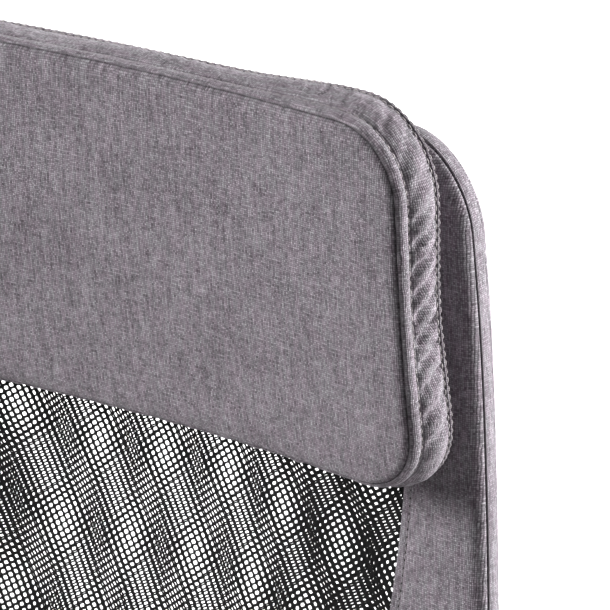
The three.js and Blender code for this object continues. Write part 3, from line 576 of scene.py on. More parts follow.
def edging():
    """The cloth sleeve round the back's edge, as one closed loop: front strip with a hem, edge seam, round edge
    over the tube, rear seam and rear strip."""
    turns, s, length = even_turns()
    outer = np.array([rounded_turn(BACK_HALF_STRAIGHT, BACK_LOW, BACK_HIGH, BACK_LOW_CORNER, BACK_TOP_CORNER, t)
                      for t in turns])
    outer[:, 0] = bellied(outer[:, 0], outer[:, 1])
    inner = np.array([rounded_turn(WINDOW_HALF, NET_LOW, NET_HIGH, WINDOW_CORNER, WINDOW_CORNER, t)
                      for t in turns])
    inner[:, 0] *= window_scale(np.clip(inner[:, 1], NET_LOW + WINDOW_CORNER, NET_HIGH - WINDOW_CORNER))
    width = np.linalg.norm(inner - outer, axis=1)
    inward = (inner - outer) / width[:, None]
    radius = BACK_DEPTH / 2
    ripple, soft = Wave(21, length, 30 * MM, 120 * MM), Wave(22, length, 9 * MM, 26 * MM)
    rings, uvs, crease_shades = [], [], []

    def ring(inset, behind, crease_shade=0.0, along=None):
        inset = np.broadcast_to(inset, (EDGE_AROUND,))
        spots = outer + inward * inset[:, None]
        y = back_y(spots[:, 0], spots[:, 1], behind)
        rings.append(np.column_stack([spots[:, 0], y, spots[:, 1]]))
        uvs.append(spots if along is None else np.column_stack([np.full(EDGE_AROUND, along), s]))
        crease_shades.append(np.full(EDGE_AROUND, crease_shade))

    hem = 0.9 * MM
    # Each strip ring is given by its inset, how far behind the face it lies and its painted shade: dark where the
    # hem folds under into the window, in the small groove along the hem and in the edge seam.
    for front in (True, False):
        strip = [(width, 2.0 * MM, 0.6), (width, 0.3 * MM, 0.5), (width - 0.4 * MM, -hem * 0.7, 0.15)]
        strip += [(width - inset * MM, -hem, 0.0) for inset in (1.2, 4.5, 6.2)]
        strip += [(width - 6.8 * MM, -hem + 0.35 * MM, 0.35), (width - 7.4 * MM, -hem, 0.0)]
        for t in np.linspace(0.16, 0.9, 14):
            swell = -(hem + 1.5 * MM * math.sin(math.pi * t) ** 0.8)
            uneven = swell + 0.18 * MM * ripple(s) + 0.05 * MM * soft(s)
            strip.append((width * (1 - t) + radius * t, uneven, 0.0))
        # The strip curves over the tube to the edge seam.
        for degrees in range(0, 64, 7):
            angle = math.radians(degrees)
            strip.append((radius - radius * math.sin(angle), radius - radius * math.cos(angle) - hem * 0.6
                          + 0.05 * MM * soft(s), 0.0))
        # The edge seam's groove carries painted shade.
        for degrees, dip, crease_shade in ((65.8, 0.0, 0.1), (67, 0.6, 0.8), (67.9, 0.6, 0.8), (69.3, -0.2, 0.1)):
            angle = math.radians(degrees)
            r = radius - dip * MM
            strip.append((radius - r * math.sin(angle), radius - r * math.cos(angle), crease_shade))
        if front:
            for inset, behind, crease_shade in strip:
                ring(inset, behind, crease_shade)
            for degrees in range(74, 108, 3):
                angle = math.radians(degrees)
                ring(radius - (radius + 0.3 * MM) * math.sin(angle), radius - radius * math.cos(angle), 0.0,
                     0.3 + radius * angle)
        else:
            for inset, behind, crease_shade in reversed(strip):
                ring(inset, BACK_DEPTH - behind, crease_shade)
    rings = np.array(rings)
    count = len(rings)
    faces = ring_faces(count, EDGE_AROUND)
    piece = make("edge_sleeve", rings.reshape(-1, 3), faces, CLOTH, np.vstack(uvs), np.concatenate(crease_shades))
    facing_out(piece)
    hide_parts("edging_left", "edging_right", "edging_top", "edging_bottom")
    ride(piece, "seat")
    # Topstitching along the hem, front and rear, with dark pieces in the needle holes as painted shade.
    for name, k, outward_y in (("front", 6, -1), ("rear", count - 7, 1)):
        path = np.vstack([rings[k], rings[k][:1]])
        outward = np.tile((0.0, outward_y, 0.0), (len(path), 1))
        sewn_row(f"hem_{{}}_{name}", path, outward, HEM_STITCH, (3.3 * MM, 0.36 * MM, THREAD_LIGHT, 0.15 * MM),
                 (1.3 * MM, 0.5 * MM, NEEDLE_HOLE_SHADE, 0.1 * MM))


def net(name, behind, lattice, node):
    """A layer of net with true holes on a slanting lattice, reaching a little under the edging's hem. Towards the
    sides it is stretched wider and its rows level out."""
    across, down, origin = (np.array(v) * MM for v in lattice)
    scale = across[0] / (FRONT_NET[0][0] * MM)
    under = 5 * MM
    half, low, high = WINDOW_HALF + under, NET_LOW - under, NET_HIGH + under

    def lay(spot):
        x, z = spot
        beyond = max(0.0, abs(x) - 0.06)
        return x + math.copysign(0.95 * beyond ** 2, x), z + 0.7 * beyond ** 2

    # The cell's corners, in thirds of the two steps.
    thirds = [(1, 1), (-1, 2), (-2, 1), (-1, -1), (1, -2), (2, -1)]
    corners = [(a * across + b * down) / 3 for a, b in thirds]
    width, height = (size * scale * MM for size in NET_HOLE)
    holes = []
    for x, z in corners:
        angle = math.atan2(z / height, x / width)
        holes.append(np.array([width * math.cos(angle), height * math.sin(angle)]))
    points, faces, index = [], [], {}
    rows = int((high - low + 0.1) / -down[1])
    for j in range(-rows, rows):
        for i in range(-rows, rows):
            spot = origin + i * across + j * down
            if abs(spot[0]) > half + 0.01:
                continue
            x, z = lay(spot)
            if not low < z < high:
                continue
            over = max(0.0, z - (high - WINDOW_CORNER), low + WINDOW_CORNER - z)
            corner = math.sqrt(max(0, WINDOW_CORNER ** 2 - over ** 2))
            edge = (half - WINDOW_CORNER + corner) * float(window_scale(z))
            if abs(x) > edge + 1.5 * MM:
                continue
            ring = []
            for (a, b), corner in zip(thirds, corners):
                key = (3 * i + a, 3 * j + b)
                if key not in index:
                    index[key] = len(points)
                    points.append(lay(spot + corner))
                ring.append(index[key])
            first = len(points)
            shrink = 1 - 0.14 * min(1, max(0, abs(x) - 0.07) / 0.06)
            points += [lay(spot + shrink * hole) for hole in holes]
            faces += [(ring[q], ring[(q + 1) % 6], first + (q + 1) % 6, first + q) for q in range(6)]
    flat = np.array(points)
    y = back_y(flat[:, 0], flat[:, 1], behind)
    piece = make(name, np.column_stack([flat[:, 0], y, flat[:, 1]]), faces, NET)
    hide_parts(node)
    ride(piece, "seat")


# ---------------------------------------------------------------- camera, light and floor
def stage():
    floor_mesh = bpy.data.meshes.new("floor")
    reach = 60
    square = [(-reach, -reach, 0), (reach, -reach, 0), (reach, reach, 0), (-reach, reach, 0)]
    floor_mesh.from_pydata(square, [], [(0, 1, 2, 3)])
    floor = bpy.data.objects.new("floor", floor_mesh)
    bpy.context.collection.objects.link(floor)
    n = Nodes("pale_floor")
    floor_mesh.materials.append(n.finish(0.9, 0.1, Base_Color=(0.93, 0.93, 0.93, 1)))

    # The studio's white walls, bright near the horizon and dim overhead.
    world = bpy.data.worlds.new("studio")
    world.use_nodes = True
    tree = world.node_tree
    around = tree.nodes.new("ShaderNodeTexCoord")
    split = tree.nodes.new("ShaderNodeSeparateXYZ")
    height = tree.nodes.new("ShaderNodeMapRange")
    height.interpolation_type = "SMOOTHSTEP"
    for socket, value in ((1, 0.06), (2, 0.30), (3, 1.0), (4, AMBIENT)):
        height.inputs[socket].default_value = value
    # The walls behind the camera are darker.
    facing = tree.nodes.new("ShaderNodeVectorMath")
    facing.operation = "DOT_PRODUCT"
    facing.inputs[1].default_value = (math.sin(AZIMUTH), -math.cos(AZIMUTH), 0)
    dimming = tree.nodes.new("ShaderNodeMapRange")
    dimming.interpolation_type = "SMOOTHSTEP"
    for socket, value in ((1, -0.7), (2, 0.25), (3, 1.0), (4, 0.06)):
        dimming.inputs[socket].default_value = value
    both = tree.nodes.new("ShaderNodeMath")
    both.operation = "MULTIPLY"
    tree.links.new(around.outputs["Generated"], facing.inputs[0])
    tree.links.new(facing.outputs["Value"], dimming.inputs[0])
    tree.links.new(dimming.outputs[0], both.inputs[1])
    tree.links.new(around.outputs["Generated"], split.inputs[0])
    tree.links.new(split.outputs[2], height.inputs[0])
    tree.links.new(height.outputs[0], both.inputs[0])
    tree.links.new(both.outputs[0], tree.nodes["Background"].inputs["Strength"])
    tree.nodes["Background"].inputs["Color"].default_value = (1, 1, 1, 1)
    bpy.context.scene.world = world

    def lamp(name, kind, place, aim, power, **settings):
        light = bpy.data.lights.new(name, kind)
        light.energy = power
        for key, value in settings.items():
            setattr(light, key, value)
        holder = bpy.data.objects.new(name, light)
        holder.location = place
        holder.rotation_mode = "QUATERNION"
        holder.rotation_quaternion = (Vector(aim) - Vector(place)).to_track_quat("-Z", "Y")
        bpy.context.collection.objects.link(holder)

    lamp("overhead", "SUN", (0.3, 0.2, 4), (0, 0, 0), 0.6, angle=math.radians(35))
    lamp("backdrop", "AREA", (-1.8, 3.0, 3.6), (-1.8, 3.0, 0), 150, size=3.0, spread=math.radians(100))
    lamp("key_left", "AREA", (-2.2, -1.8, 2.3), (0, 0.1, 0.95), 30, size=1.5, spread=math.radians(70))
    lamp("rim_right", "AREA", (2.0, 2.2, 1.6), (0, 0.2, 1.0), 47, size=1.2, spread=math.radians(70))


def camera():
    seam_z = PAD_LOW.z + PAD_SEAM_INSET
    seam = Vector((0, float(pad_y(0, seam_z, PAD_SEAM_DEPTH)), seam_z))
    back = Vector((math.sin(AZIMUTH) * math.cos(ELEVATION), -math.cos(AZIMUTH) * math.cos(ELEVATION),
                   math.sin(ELEVATION)))
    right = Vector((math.cos(AZIMUTH), math.sin(AZIMUTH), 0))
    up = back.cross(right)
    aim = seam + right * AIM_RIGHT + up * AIM_UP
    data = bpy.data.cameras.new("camera")
    data.lens = LENS
    data.sensor_width = 36
    data.clip_end = 200
    eye = bpy.data.objects.new("camera", data)
    eye.location = aim + back * CAMERA_DISTANCE
    eye.rotation_mode = "QUATERNION"
    eye.rotation_quaternion = back.to_track_quat("Z", "Y")
    bpy.context.collection.objects.link(eye)
    bpy.context.scene.camera = eye
    bpy.context.scene.view_settings.view_transform = "Standard"


# ---------------------------------------------------------------- shapes, each (points, faces)
def filleted(corners, radius, steps=5, closed=True):
    """The outline with its corners rounded by `radius`, or by less where a side is short."""
    corners = [np.array(c, float) for c in corners]
    count = len(corners)
    outline = []
    for i, corner in enumerate(corners):
        if not closed and i in (0, count - 1):
            outline.append(corner)
            continue
        before, after = corners[i - 1], corners[(i + 1) % count]
        start = corner + (before - corner) * min(0.48, radius / np.linalg.norm(before - corner))
        end = corner + (after - corner) * min(0.48, radius / np.linalg.norm(after - corner))
        for k in range(steps + 1):
            t = k / steps
            outline.append((1 - t) ** 2 * start + 2 * t * (1 - t) * corner + t * t * end)
    return np.array(outline)


def revolved(outline, sides=72, about="z", at=(0, 0, 0), closed=True, start=0.0, turn=360.0):
    """A solid of revolution from [radius, height] points; less than a full turn is closed with end faces."""
    full = turn >= 360
    steps = sides if full else sides + 1
    angle = np.radians(start + np.arange(steps) * turn / sides)
    r, h = np.asarray(outline).T
    rings = np.stack([np.outer(np.cos(angle), r), np.outer(np.sin(angle), r), np.tile(h, (steps, 1))], -1)
    count = len(r)
    faces = []
    for a in range(sides):
        b = (a + 1) % steps
        for i in range(count if closed else count - 1):
            j = (i + 1) % count
            faces.append((a * count + i, a * count + j, b * count + j, b * count + i))
    if not full:
        faces += [tuple(range(count)), tuple(sides * count + i for i in reversed(range(count)))]
    points = rings.reshape(-1, 3)
    if about == "x":
        points = points[:, [2, 0, 1]]
    return points + np.array(at), faces


def lofted(rings, capped=True):
    """Skin over a row of closed rings."""
    rings = np.asarray(rings)
    steps, count = rings.shape[:2]
    faces = ring_faces(steps, count)
    if capped:
        faces += [tuple(reversed(range(count))), tuple((steps - 1) * count + i for i in range(count))]
    return rings.reshape(-1, 3), faces


def piped(path, radius, sides=20, blunt=0.3):
    """A round bar along a path, its ends a little rounded."""
    path = np.asarray(path, float)
    radius = np.broadcast_to(np.asarray(radius, float), (len(path),))
    tangent = np.gradient(path, axis=0)
    tangent /= np.linalg.norm(tangent, axis=1)[:, None]
    normal = np.array([0, 1, 0.0]) if abs(tangent[0][2]) > 0.9 else np.array([0, 0, 1.0])
    rings = []
    angle = np.arange(sides) * 2 * math.pi / sides
    for point, along, size in zip(path, tangent, radius):
        normal = normal - along * normal.dot(along)
        normal /= np.linalg.norm(normal)
        side = np.cross(along, normal)
        rings.append(point + size * (np.outer(np.cos(angle), normal) + np.outer(np.sin(angle), side)))
    ends = []
    for ring, point, along, size, way in ((rings[0], path[0], tangent[0], radius[0], -1),
                                          (rings[-1], path[-1], tangent[-1], radius[-1], 1)):
        ends.append([point + (ring - point) * s + along * way * size * blunt * t
                     for s, t in ((0.93, 0.7), (0.75, 1.0))])
    return lofted([*reversed(ends[0]), *rings, *ends[1]])


def bent_path(corners, bend, steps=12):
    """Points of a path through the corners, bent by `bend` at each inner one."""
    corners = [np.array(c, float) for c in corners]
    path = [corners[0]]
    for i in range(1, len(corners) - 1):
        before, corner, after = corners[i - 1:i + 2]
        start = corner + (before - corner) * bend / np.linalg.norm(before - corner)
        end = corner + (after - corner) * bend / np.linalg.norm(after - corner)
        path += [(1 - t) ** 2 * start + 2 * t * (1 - t) * corner + t * t * end for t in np.linspace(0, 1, steps)]
    return np.array(path + [corners[-1]])


def finished(name, shapes, material, body, slot, *nodes, sharp=38):
    """One piece of one or more shapes, in place of its CAD nodes."""
    points, faces, base = [], [], 0
    for shape_points, shape_faces in shapes:
        points.append(shape_points)
        faces += [tuple(base + i for i in face) for face in shape_faces]
        base += len(shape_points)
    piece = make(name, np.vstack(points), faces, material)
    bm = bmesh.new()
    bm.from_mesh(piece.data)
    bmesh.ops.remove_doubles(bm, verts=bm.verts, dist=1e-6)
    bmesh.ops.recalc_face_normals(bm, faces=bm.faces)
    bm.to_mesh(piece.data)
    bm.free()
    piece.data.set_sharp_from_angle(angle=math.radians(sharp))
    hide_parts(*nodes)
    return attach(piece, body) if body else piece


def refined(node, material, body, width, segments=3, sharp=30):
    """A CAD node with flat faces joined up and its edges rounded."""
    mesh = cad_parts[node].data.copy()
    bm = bmesh.new()
    bm.from_mesh(mesh)
    bmesh.ops.remove_doubles(bm, verts=bm.verts, dist=1e-6)
    bmesh.ops.dissolve_limit(bm, angle_limit=math.radians(1), verts=bm.verts, edges=bm.edges)
    edges = [e for e in bm.edges if len(e.link_faces) == 2 and e.calc_face_angle(0) > math.radians(sharp)]
    bmesh.ops.bevel(bm, geom=edges, offset=width, segments=segments, profile=0.5, affect="EDGES",
                    clamp_overlap=True)
    bm.to_mesh(mesh)
    bm.free()
    mesh.materials.clear()
    mesh.materials.append(material)
    mesh.polygons.foreach_set("use_smooth", [True] * len(mesh.polygons))
    mesh.set_sharp_from_angle(angle=math.radians(sharp))
    piece = bpy.data.objects.new(node + "_finished", mesh)
    bpy.context.collection.objects.link(piece)
    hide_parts(node)
    return ride(piece, body)


# ---------------------------------------------------------------- hard materials
def coated(name, dark, light, roughness, grain, depth, specular=0.5, coat=0.0, metallic=0.0):
    """Moulded plastic or painted metal: fine surface grain, and a slow change of shade and gloss."""
    n = Nodes(name)
    place = n.add("ShaderNodeTexCoord").outputs["Object"]
    n.put(n.shader.inputs["Base Color"], n.ramp(n.noise(place, 14, 3), [(0.3, dark), (0.7, light)]))
    gloss = n.math("MULTIPLY_ADD", n.noise(place, 35, 3), roughness * 0.5, roughness * 0.75)
    n.put(n.shader.inputs["Roughness"], gloss)
    n.bump(n.noise(place, grain, 3, 0.6), 0.6, depth)
    return n.finish(specular=specular, Coat_Weight=coat, Metallic=metallic)


def brushed(name, dark, light, roughness, stretch):
    """Bare metal with fine drawn lines; `stretch` sets which way they run."""
    n = Nodes(name)
    place = n.add("ShaderNodeTexCoord").outputs["Object"]
    lines = n.add("ShaderNodeMapping", {"Vector": place, "Scale": stretch}).outputs[0]
    fine = n.noise(lines, 1, 3, 0.7)
    n.put(n.shader.inputs["Base Color"], n.ramp(n.noise(place, 30, 3), [(0.3, dark), (0.7, light)]))
    n.put(n.shader.inputs["Roughness"], n.math("MULTIPLY_ADD", fine, 0.25, roughness))
    n.bump(fine, 0.25, 0.0002)
    return n.finish(Metallic=1)


def plywood_material(name, dark, middle, light):
    n = Nodes(name)
    place = n.add("ShaderNodeTexCoord").outputs["Object"]
    grain = n.noise(n.add("ShaderNodeMapping", {"Vector": place, "Scale": (9, 220, 40)}).outputs[0], 1, 4, 0.65)
    z = n.add("ShaderNodeSeparateXYZ", {0: place}).outputs[2]
    plies = n.math("SINE", n.math("MULTIPLY", z, 2 * math.pi / 0.0031))
    tone = n.math("MULTIPLY_ADD", plies, 0.10, grain)
    n.put(n.shader.inputs["Base Color"], n.ramp(tone, [(0.32, dark), (0.55, middle), (0.72, light)]))
    n.bump(grain, 0.4, 0.0005)
    return n.finish(0.7)


PLASTIC = coated("black_polypropylene", (0.010, 0.010, 0.011), (0.021, 0.021, 0.023), 0.5, 2200, 0.00025)
NYLON = coated("wheel_nylon", (0.008, 0.008, 0.009), (0.017, 0.017, 0.019), 0.36, 900, 0.00012)
SOFT_TOUCH = coated("arm_polyurethane", (0.011, 0.011, 0.012), (0.020, 0.020, 0.021), 0.62, 1500, 0.0004, 0.4)
POWDER = coated("black_powder_coat", (0.009, 0.009, 0.010), (0.016, 0.016, 0.017), 0.38, 700, 0.0002, 0.5, 0.15)
CHROME = coated("chrome_plate", (0.60, 0.61, 0.63), (0.68, 0.69, 0.70), 0.07, 40, 0.00002, 0.5, 0.0, 1.0)
ZINC = brushed("zinc_steel", (0.36, 0.37, 0.39), (0.52, 0.53, 0.54), 0.24, (900, 900, 60))
PLYWOOD = plywood_material("birch_plywood", (0.30, 0.18, 0.085), (0.48, 0.33, 0.18), (0.58, 0.43, 0.25))
# The board behind the headrest is stained black, so that it doesn't show through the net.
STAINED = plywood_material("stained_plywood", (0.008, 0.007, 0.006), (0.014, 0.0125, 0.011),
                           (0.022, 0.020, 0.018))


# ---------------------------------------------------------------- base, casters and column
def box_of(node):
    low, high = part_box(node)
    return np.array(low), np.array(high)


def casters():
    for i in range(5):
        name = f"caster_{i + 1}"
        axle_low, axle_high = box_of(f"{name}_axle")
        x, y, z = (axle_low + axle_high) / 2
        hood_low, hood_high = box_of(f"{name}_hood")
        stem_y = y - 0.018
        half = (hood_high[0] - hood_low[0]) / 2
        rim, rib = 0.0287, 6.2 * MM
        shell = filleted([(rim, -half), (rim, half), (rim - 0.0022, half), (rim - 0.0022, -half)], 0.9 * MM, 3)
        web = filleted([(0.0045, -rib), (0.020, -rib), (rim - 1 * MM, -rib), (rim - 1 * MM, rib), (0.020, rib),
                        (0.0045, rib)], 0.6 * MM, 2)
        eye = filleted([(0.0045, -rib), (0.020, -rib), (0.020, rib), (0.0045, rib)], 0.8 * MM, 2)
        # The hood covers the wheels from just under the axle's height at the front, over the top, to the rear.
        hood = [revolved(shell, 44, "x", (x, y, z), True, -6, 192),
                revolved(web, 44, "x", (x, y, z), True, -6, 192),
                revolved(eye, 56, "x", (x, y, z)),
                revolved(filleted([(0, 0.040), (0.009, 0.040), (0.009, 0.0555), (0.0072, 0.0575), (0, 0.0575)],
                                  0.9 * MM, 3, False), 40, "z", (x, stem_y, 0), False)]
        stem = filleted([(0, 0.056), (0.0054, 0.056), (0.0054, 0.077), (0.0047, 0.0785), (0.0047, 0.080),
                         (0.0054, 0.0815), (0.0048, 0.084), (0, 0.084)], 0.4 * MM, 2, False)
        stem = revolved(stem, 32, "z", (x, stem_y, 0), False)
        finished(f"{name}_shell", [*hood, stem], PLASTIC, f"caster_{i + 1}", "black_plastic", f"{name}_hood")

        width, radius = 17 * MM, 25 * MM / math.cos(math.pi / 16) - 0.35 * MM
        tyre = [(4.5, -8.2), (8.5, -8.2), (9.2, -6.4), (17.5, -5.6), (20.6, -8.5), (23.2, -8.5), (24.9, -6.6),
                (25.1, 0), (24.9, 6.6), (23.2, 8.5), (20.6, 8.5), (17.5, 5.6), (9.2, 6.4), (8.5, 8.2), (4.5, 8.2)]
        tyre = filleted(np.array(tyre) * (radius / 25.1, MM), 0.9 * MM, 3)
        for side, way in (("left", -1), ("right", 1)):
            wx = x + way * (6.5 * MM + width / 2)
            spokes = []
            for k in range(8):
                angle = 2 * math.pi * k / 8
                ring = []
                for r in (9 * MM, 18.5 * MM):
                    for across, out in ((-0.9, -7.4), (0.9, -7.4), (0.9, 7.4), (-0.9, 7.4)):
                        ring.append((wx + out * MM, y + r * math.cos(angle) - across * MM * math.sin(angle),
                                     z + r * math.sin(angle) + across * MM * math.cos(angle)))
                spokes.append(lofted([ring[:4], ring[4:]]))
            finished(f"{name}_tyre_{side}", [revolved(tyre, 80, "x", (wx, y, z)), *spokes], NYLON,
                     f"wheels_{i + 1}", "wheel_plastic", f"{name}_wheel_{side}")
        half_axle = (axle_high[0] - axle_low[0]) / 2
        pin = filleted([(0, -half_axle), (0.004, -half_axle), (0.004, half_axle), (0, half_axle)],
                       0.6 * MM, 3, False)
        finished(f"{name}_pin", [revolved(pin, 32, "x", (x, y, z), False)], ZINC, f"wheels_{i + 1}", "steel",
                 f"{name}_axle")


def star_base():
    """Five arched legs of an open-bottomed section, a hub ring and five stem sockets."""
    shapes = []
    reach = 0.292
    for i in range(5):
        angle = -math.pi / 2 + 2 * math.pi * i / 5
        along = np.array([math.cos(angle), math.sin(angle), 0])
        across = np.array([-math.sin(angle), math.cos(angle), 0])
        rings = []
        for t in np.linspace(0, 1, 26):
            r = mix(0.026, reach - 0.004, t)
            half = mix(0.0168, 0.0113, t ** 0.9)
            top = mix(0.1225, 0.0815, t) + 0.0035 * math.sin(math.pi * t) * (1 - t)
            low = mix(0.071, 0.0605, t ** 0.7)
            wall = 2.4 * MM
            outer = [(half * math.copysign(abs(math.sin(a)) ** 0.62, math.sin(a)), low + (top - low)
                      * max(0.0, math.cos(a)) ** 0.42) for a in np.linspace(-math.pi / 2, math.pi / 2, 25)]
            inner = [(-x * (half - wall) / half, low + (z - low) * (top - wall - low) / (top - low))
                     for x, z in outer]
            rings.append([along * r + across * x + np.array([0, 0, z]) for x, z in outer + inner])
        shapes.append(lofted(rings))
        socket = filleted([(0.0059, 0.060), (0.014, 0.060), (0.0142, 0.079), (0.0112, 0.083), (0.0059, 0.083)],
                          1.6 * MM, 4)
        shapes.append(revolved(socket, 48, "z", along * reach))
    hub = filleted([(0.0254, 0.062), (0.0288, 0.062), (0.030, 0.068), (0.030, 0.124), (0.0285, 0.130),
                    (0.0254, 0.130)], 1.2 * MM, 4)
    shapes.append(revolved(hub, 96))
    for k in range(5):
        angle = -math.pi / 2 + 2 * math.pi * (k + 0.5) / 5
        # A web between two neighbouring legs, low on the hub.
        rings = []
        for spread in np.linspace(-0.5, 0.5, 9):
            a = angle + spread * 0.9
            r = 0.040 + 0.010 * (2 * spread) ** 2
            d = np.array([math.cos(a), math.sin(a), 0])
            rings.append([d * 0.027 + (0, 0, 0.070), d * r + (0, 0, 0.0715), d * (r + 0.0008) + (0, 0, 0.074),
                          d * r + (0, 0, 0.0765), d * 0.027 + (0, 0, 0.090)])
        shapes.append(lofted(rings))
    finished("star_base_polished", shapes, CHROME, "base", "chrome", "star_base", sharp=45)


def column():
    def turned(name, node, corners, radius, material, body, slot, closed=True, sides=96):
        profile = filleted(np.array(corners) * MM, radius * MM, 4, closed)
        finished(name, [revolved(profile, sides, closed=closed)], material, body, slot, node)

    turned("stand_tube_coated", "stand_tube", [(5.4, 66), (25, 66), (25, 290), (23, 290), (23, 70), (5.4, 70)],
           0.7, POWDER, "base", "black_steel")
    turned("guide_bush_moulded", "guide_bush", [(14.4, 190), (22.6, 190), (22.6, 290.3), (24.5, 290.3),
                                                (24.5, 294), (14.4, 294)], 0.7, PLASTIC, "base", "black_plastic")
    turned("pressure_tube_chromed", "pressure_tube", [(5.4, 80), (14, 80), (14, 296), (13.2, 328), (4.4, 328),
                                                      (4.4, 322), (12, 322), (12, 86), (5.4, 86)],
           0.7, CHROME, "lift", "chrome")
    turned("piston_rod_ground", "piston_rod", [(0, 60), (4.6, 60), (5, 60.8), (5, 203), (11.7, 203),
                                               (11.7, 215), (0, 215)], 0.4, CHROME, "rod", "steel", False, 48)
    turned("thrust_bearing_race", "thrust_bearing", [(5.4, 70.4), (16, 70.4), (16, 73), (14.6, 73.6), (14.6, 76),
                                                     (16, 76.6), (16, 79.6), (5.4, 79.6)],
           0.4, ZINC, "rod", "steel")
    turned("retaining_clip_plate", "retaining_clip", [(5.4, 63.1), (11, 63.1), (11, 65.6), (5.4, 65.6)],
           0.4, ZINC, "rod", "steel")
    turned("release_button_moulded", "release_button", [(0, 312), (4, 312), (4, 333), (3.2, 334), (0, 334)],
           0.3, PLASTIC, "button", "black_plastic", False, 40)
    for node, body, inner, outer, low, top in (("dust_cover_lower", "base", 34.5, 36.5, 130.4, 240.4),
                                               ("dust_cover_middle", "cover", 31, 33, 152, 262),
                                               ("dust_cover_upper", "lift", 27.2, 29.2, 175, 285)):
        profile = [(inner, low), (outer - 0.4, low), (outer, low + 2), (outer - 0.5, low + 40),
                   (outer - 0.5, top - 7), (outer, top - 6), (outer, top), (inner, top)]
        turned(node + "_moulded", node, profile, 0.6, PLASTIC, body, "black_plastic")


# ---------------------------------------------------------------- mechanism and lever
def mechanism():
    refined("mechanism_housing", POWDER, "lift", 0.9 * MM)
    refined("tilt_plate", POWDER, "seat", 0.7 * MM)
    refined("tilt_pivot_pin", ZINC, "seat", 0.5 * MM, 3, 40)
    refined("tension_bolt", ZINC, "seat", 0.6 * MM, 3, 40)
    refined("back_bracket", POWDER, "seat", 1.2 * MM)
    refined("upper_crossbar", POWDER, "seat", 0.6 * MM)
    refined("lower_crossbar", POWDER, "seat", 0.6 * MM)
    refined("seat_board", PLYWOOD, "seat", 1.2 * MM)
    refined("headrest_board", STAINED, "seat", 1.0 * MM)
    for side in ("left", "right"):
        refined(f"headrest_screw_{side}", ZINC, "seat", 0.4 * MM, 2, 50)
    refined("lever_bush", PLASTIC, "lever_pivot", 0.6 * MM, 2, 50)

    # Knob: eight soft lobes on a domed grip.
    low, high = box_of("tension_knob")
    cx, cy = (low[0] + high[0]) / 2, (low[1] + high[1]) / 2
    rings = []
    angle = np.arange(192) * 2 * math.pi / 192
    lobe = 27 - 1.2 * (1 - np.cos(8 * angle))
    for z, inset in ((238.0, 4.2), (238.2, 2.4), (239.0, 1.0), (240.4, 0.25), (243, 0), (256, 0.2), (259, 0.7),
                     (260.4, 1.8), (261, 3.6)):
        reach = (lobe - inset) * MM
        rings.append(np.column_stack([cx + reach * np.cos(angle), cy + reach * np.sin(angle),
                                      np.full(192, z * MM)]))
    collar = filleted(np.array([(4.3, 238.3), (19, 238.3), (20, 262), (18.5, 265), (4.3, 265)]) * MM, 1.2 * MM, 4)
    dish = filleted(np.array([(8, 238.0), (15, 238.0), (15, 238.6), (8, 238.6)]) * MM, 0.2 * MM, 2)
    turned = [revolved(collar, 96, "z", (cx, cy, 0)), revolved(dish, 72, "z", (cx, cy, 0))]
    finished("tension_knob_moulded", [lofted(rings), *turned], PLASTIC, "knob", "black_plastic", "tension_knob")

    # Spring. On the chair its upper end stays with the column and its lower end goes with the bolt as the seat
    # tilts; here it is one fixed piece, attached to no body.
    turns, wire, radius = 4.5, 2.4 * MM, 15 * MM
    bottom, top = 269 * MM, 299 * MM
    t = np.linspace(0, 1, int(turns * 40))
    # The first and last half turn lie nearly flat, as on a ground spring.
    climb = np.clip((t - 0.06) / 0.88, 0, 1)
    rise = smoothstep(climb) * 0.25 + climb * 0.75
    around = 2 * math.pi * turns * t
    path = np.column_stack([radius * np.cos(around), cy + radius * np.sin(around),
                            mix(bottom + wire, top - wire, rise)])
    spring = finished("tilt_spring_coil", [piped(path, wire, 16)], ZINC, None, "steel", "tilt_spring")
    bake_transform(spring)


def lever():
    corners = np.array([(26, 0, 338.3), (-98, 0, 338.3), (-150, 0, 316), (-276, 0, 316)]) * MM
    rod = piped(bent_path(corners, 14 * MM), 4 * MM, 28)
    finished("lever_rod_bent", [rod], POWDER, "lever", "steel", "lever_rod")
    rings = []
    for t in np.linspace(0, 1, 40):
        x = mix(-212, -288, t)
        # Half sizes across and up: a waist near the rod, a broad rounded tip.
        wide = mix(9, 15, smoothstep(t * 1.25)) * math.sqrt(max(0.02, 1 - max(0, (t - 0.80) / 0.202) ** 2))
        thick = mix(7.0, 6.0, t) * (1 - 0.45 * max(0, (t - 0.85) / 0.15) ** 2) * min(1, 0.8 + t * 4)
        angle = np.arange(48) * 2 * math.pi / 48
        c, s = np.cos(angle), np.sin(angle)
        rings.append(np.column_stack([np.full(48, x), wide * np.sign(c) * np.abs(c) ** 0.6,
                                      316 + thick * np.sign(s) * np.abs(s) ** 0.7]) * MM)
    finished("lever_paddle_moulded", [lofted(rings)], PLASTIC, "lever", "black_plastic", "lever_paddle",
             sharp=50)


# ---------------------------------------------------------------- back tube and arms
def back_tube():
    inset = 13 * MM
    path = []
    for t in np.linspace(0.6, 4.4, 260):
        x, z = rounded_turn(BACK_HALF_STRAIGHT - inset, BACK_LOW + inset, BACK_HIGH - inset,
                            BACK_LOW_CORNER - inset, BACK_TOP_CORNER - inset, (t - 0.5) % 4)
        path.append((bellied(x, z), z))
    flat = np.array([(x, z) for x, z in path if z > BACK_LOW + inset + 1e-4 or abs(x) > 0.062])
    y = back_y(flat[:, 0], flat[:, 1], BACK_DEPTH / 2)
    tube = piped(np.column_stack([flat[:, 0], y, flat[:, 1]]), 9 * MM, 28)
    finished("back_tube_coated", [tube], POWDER, "seat", "black_steel", "back_frame")


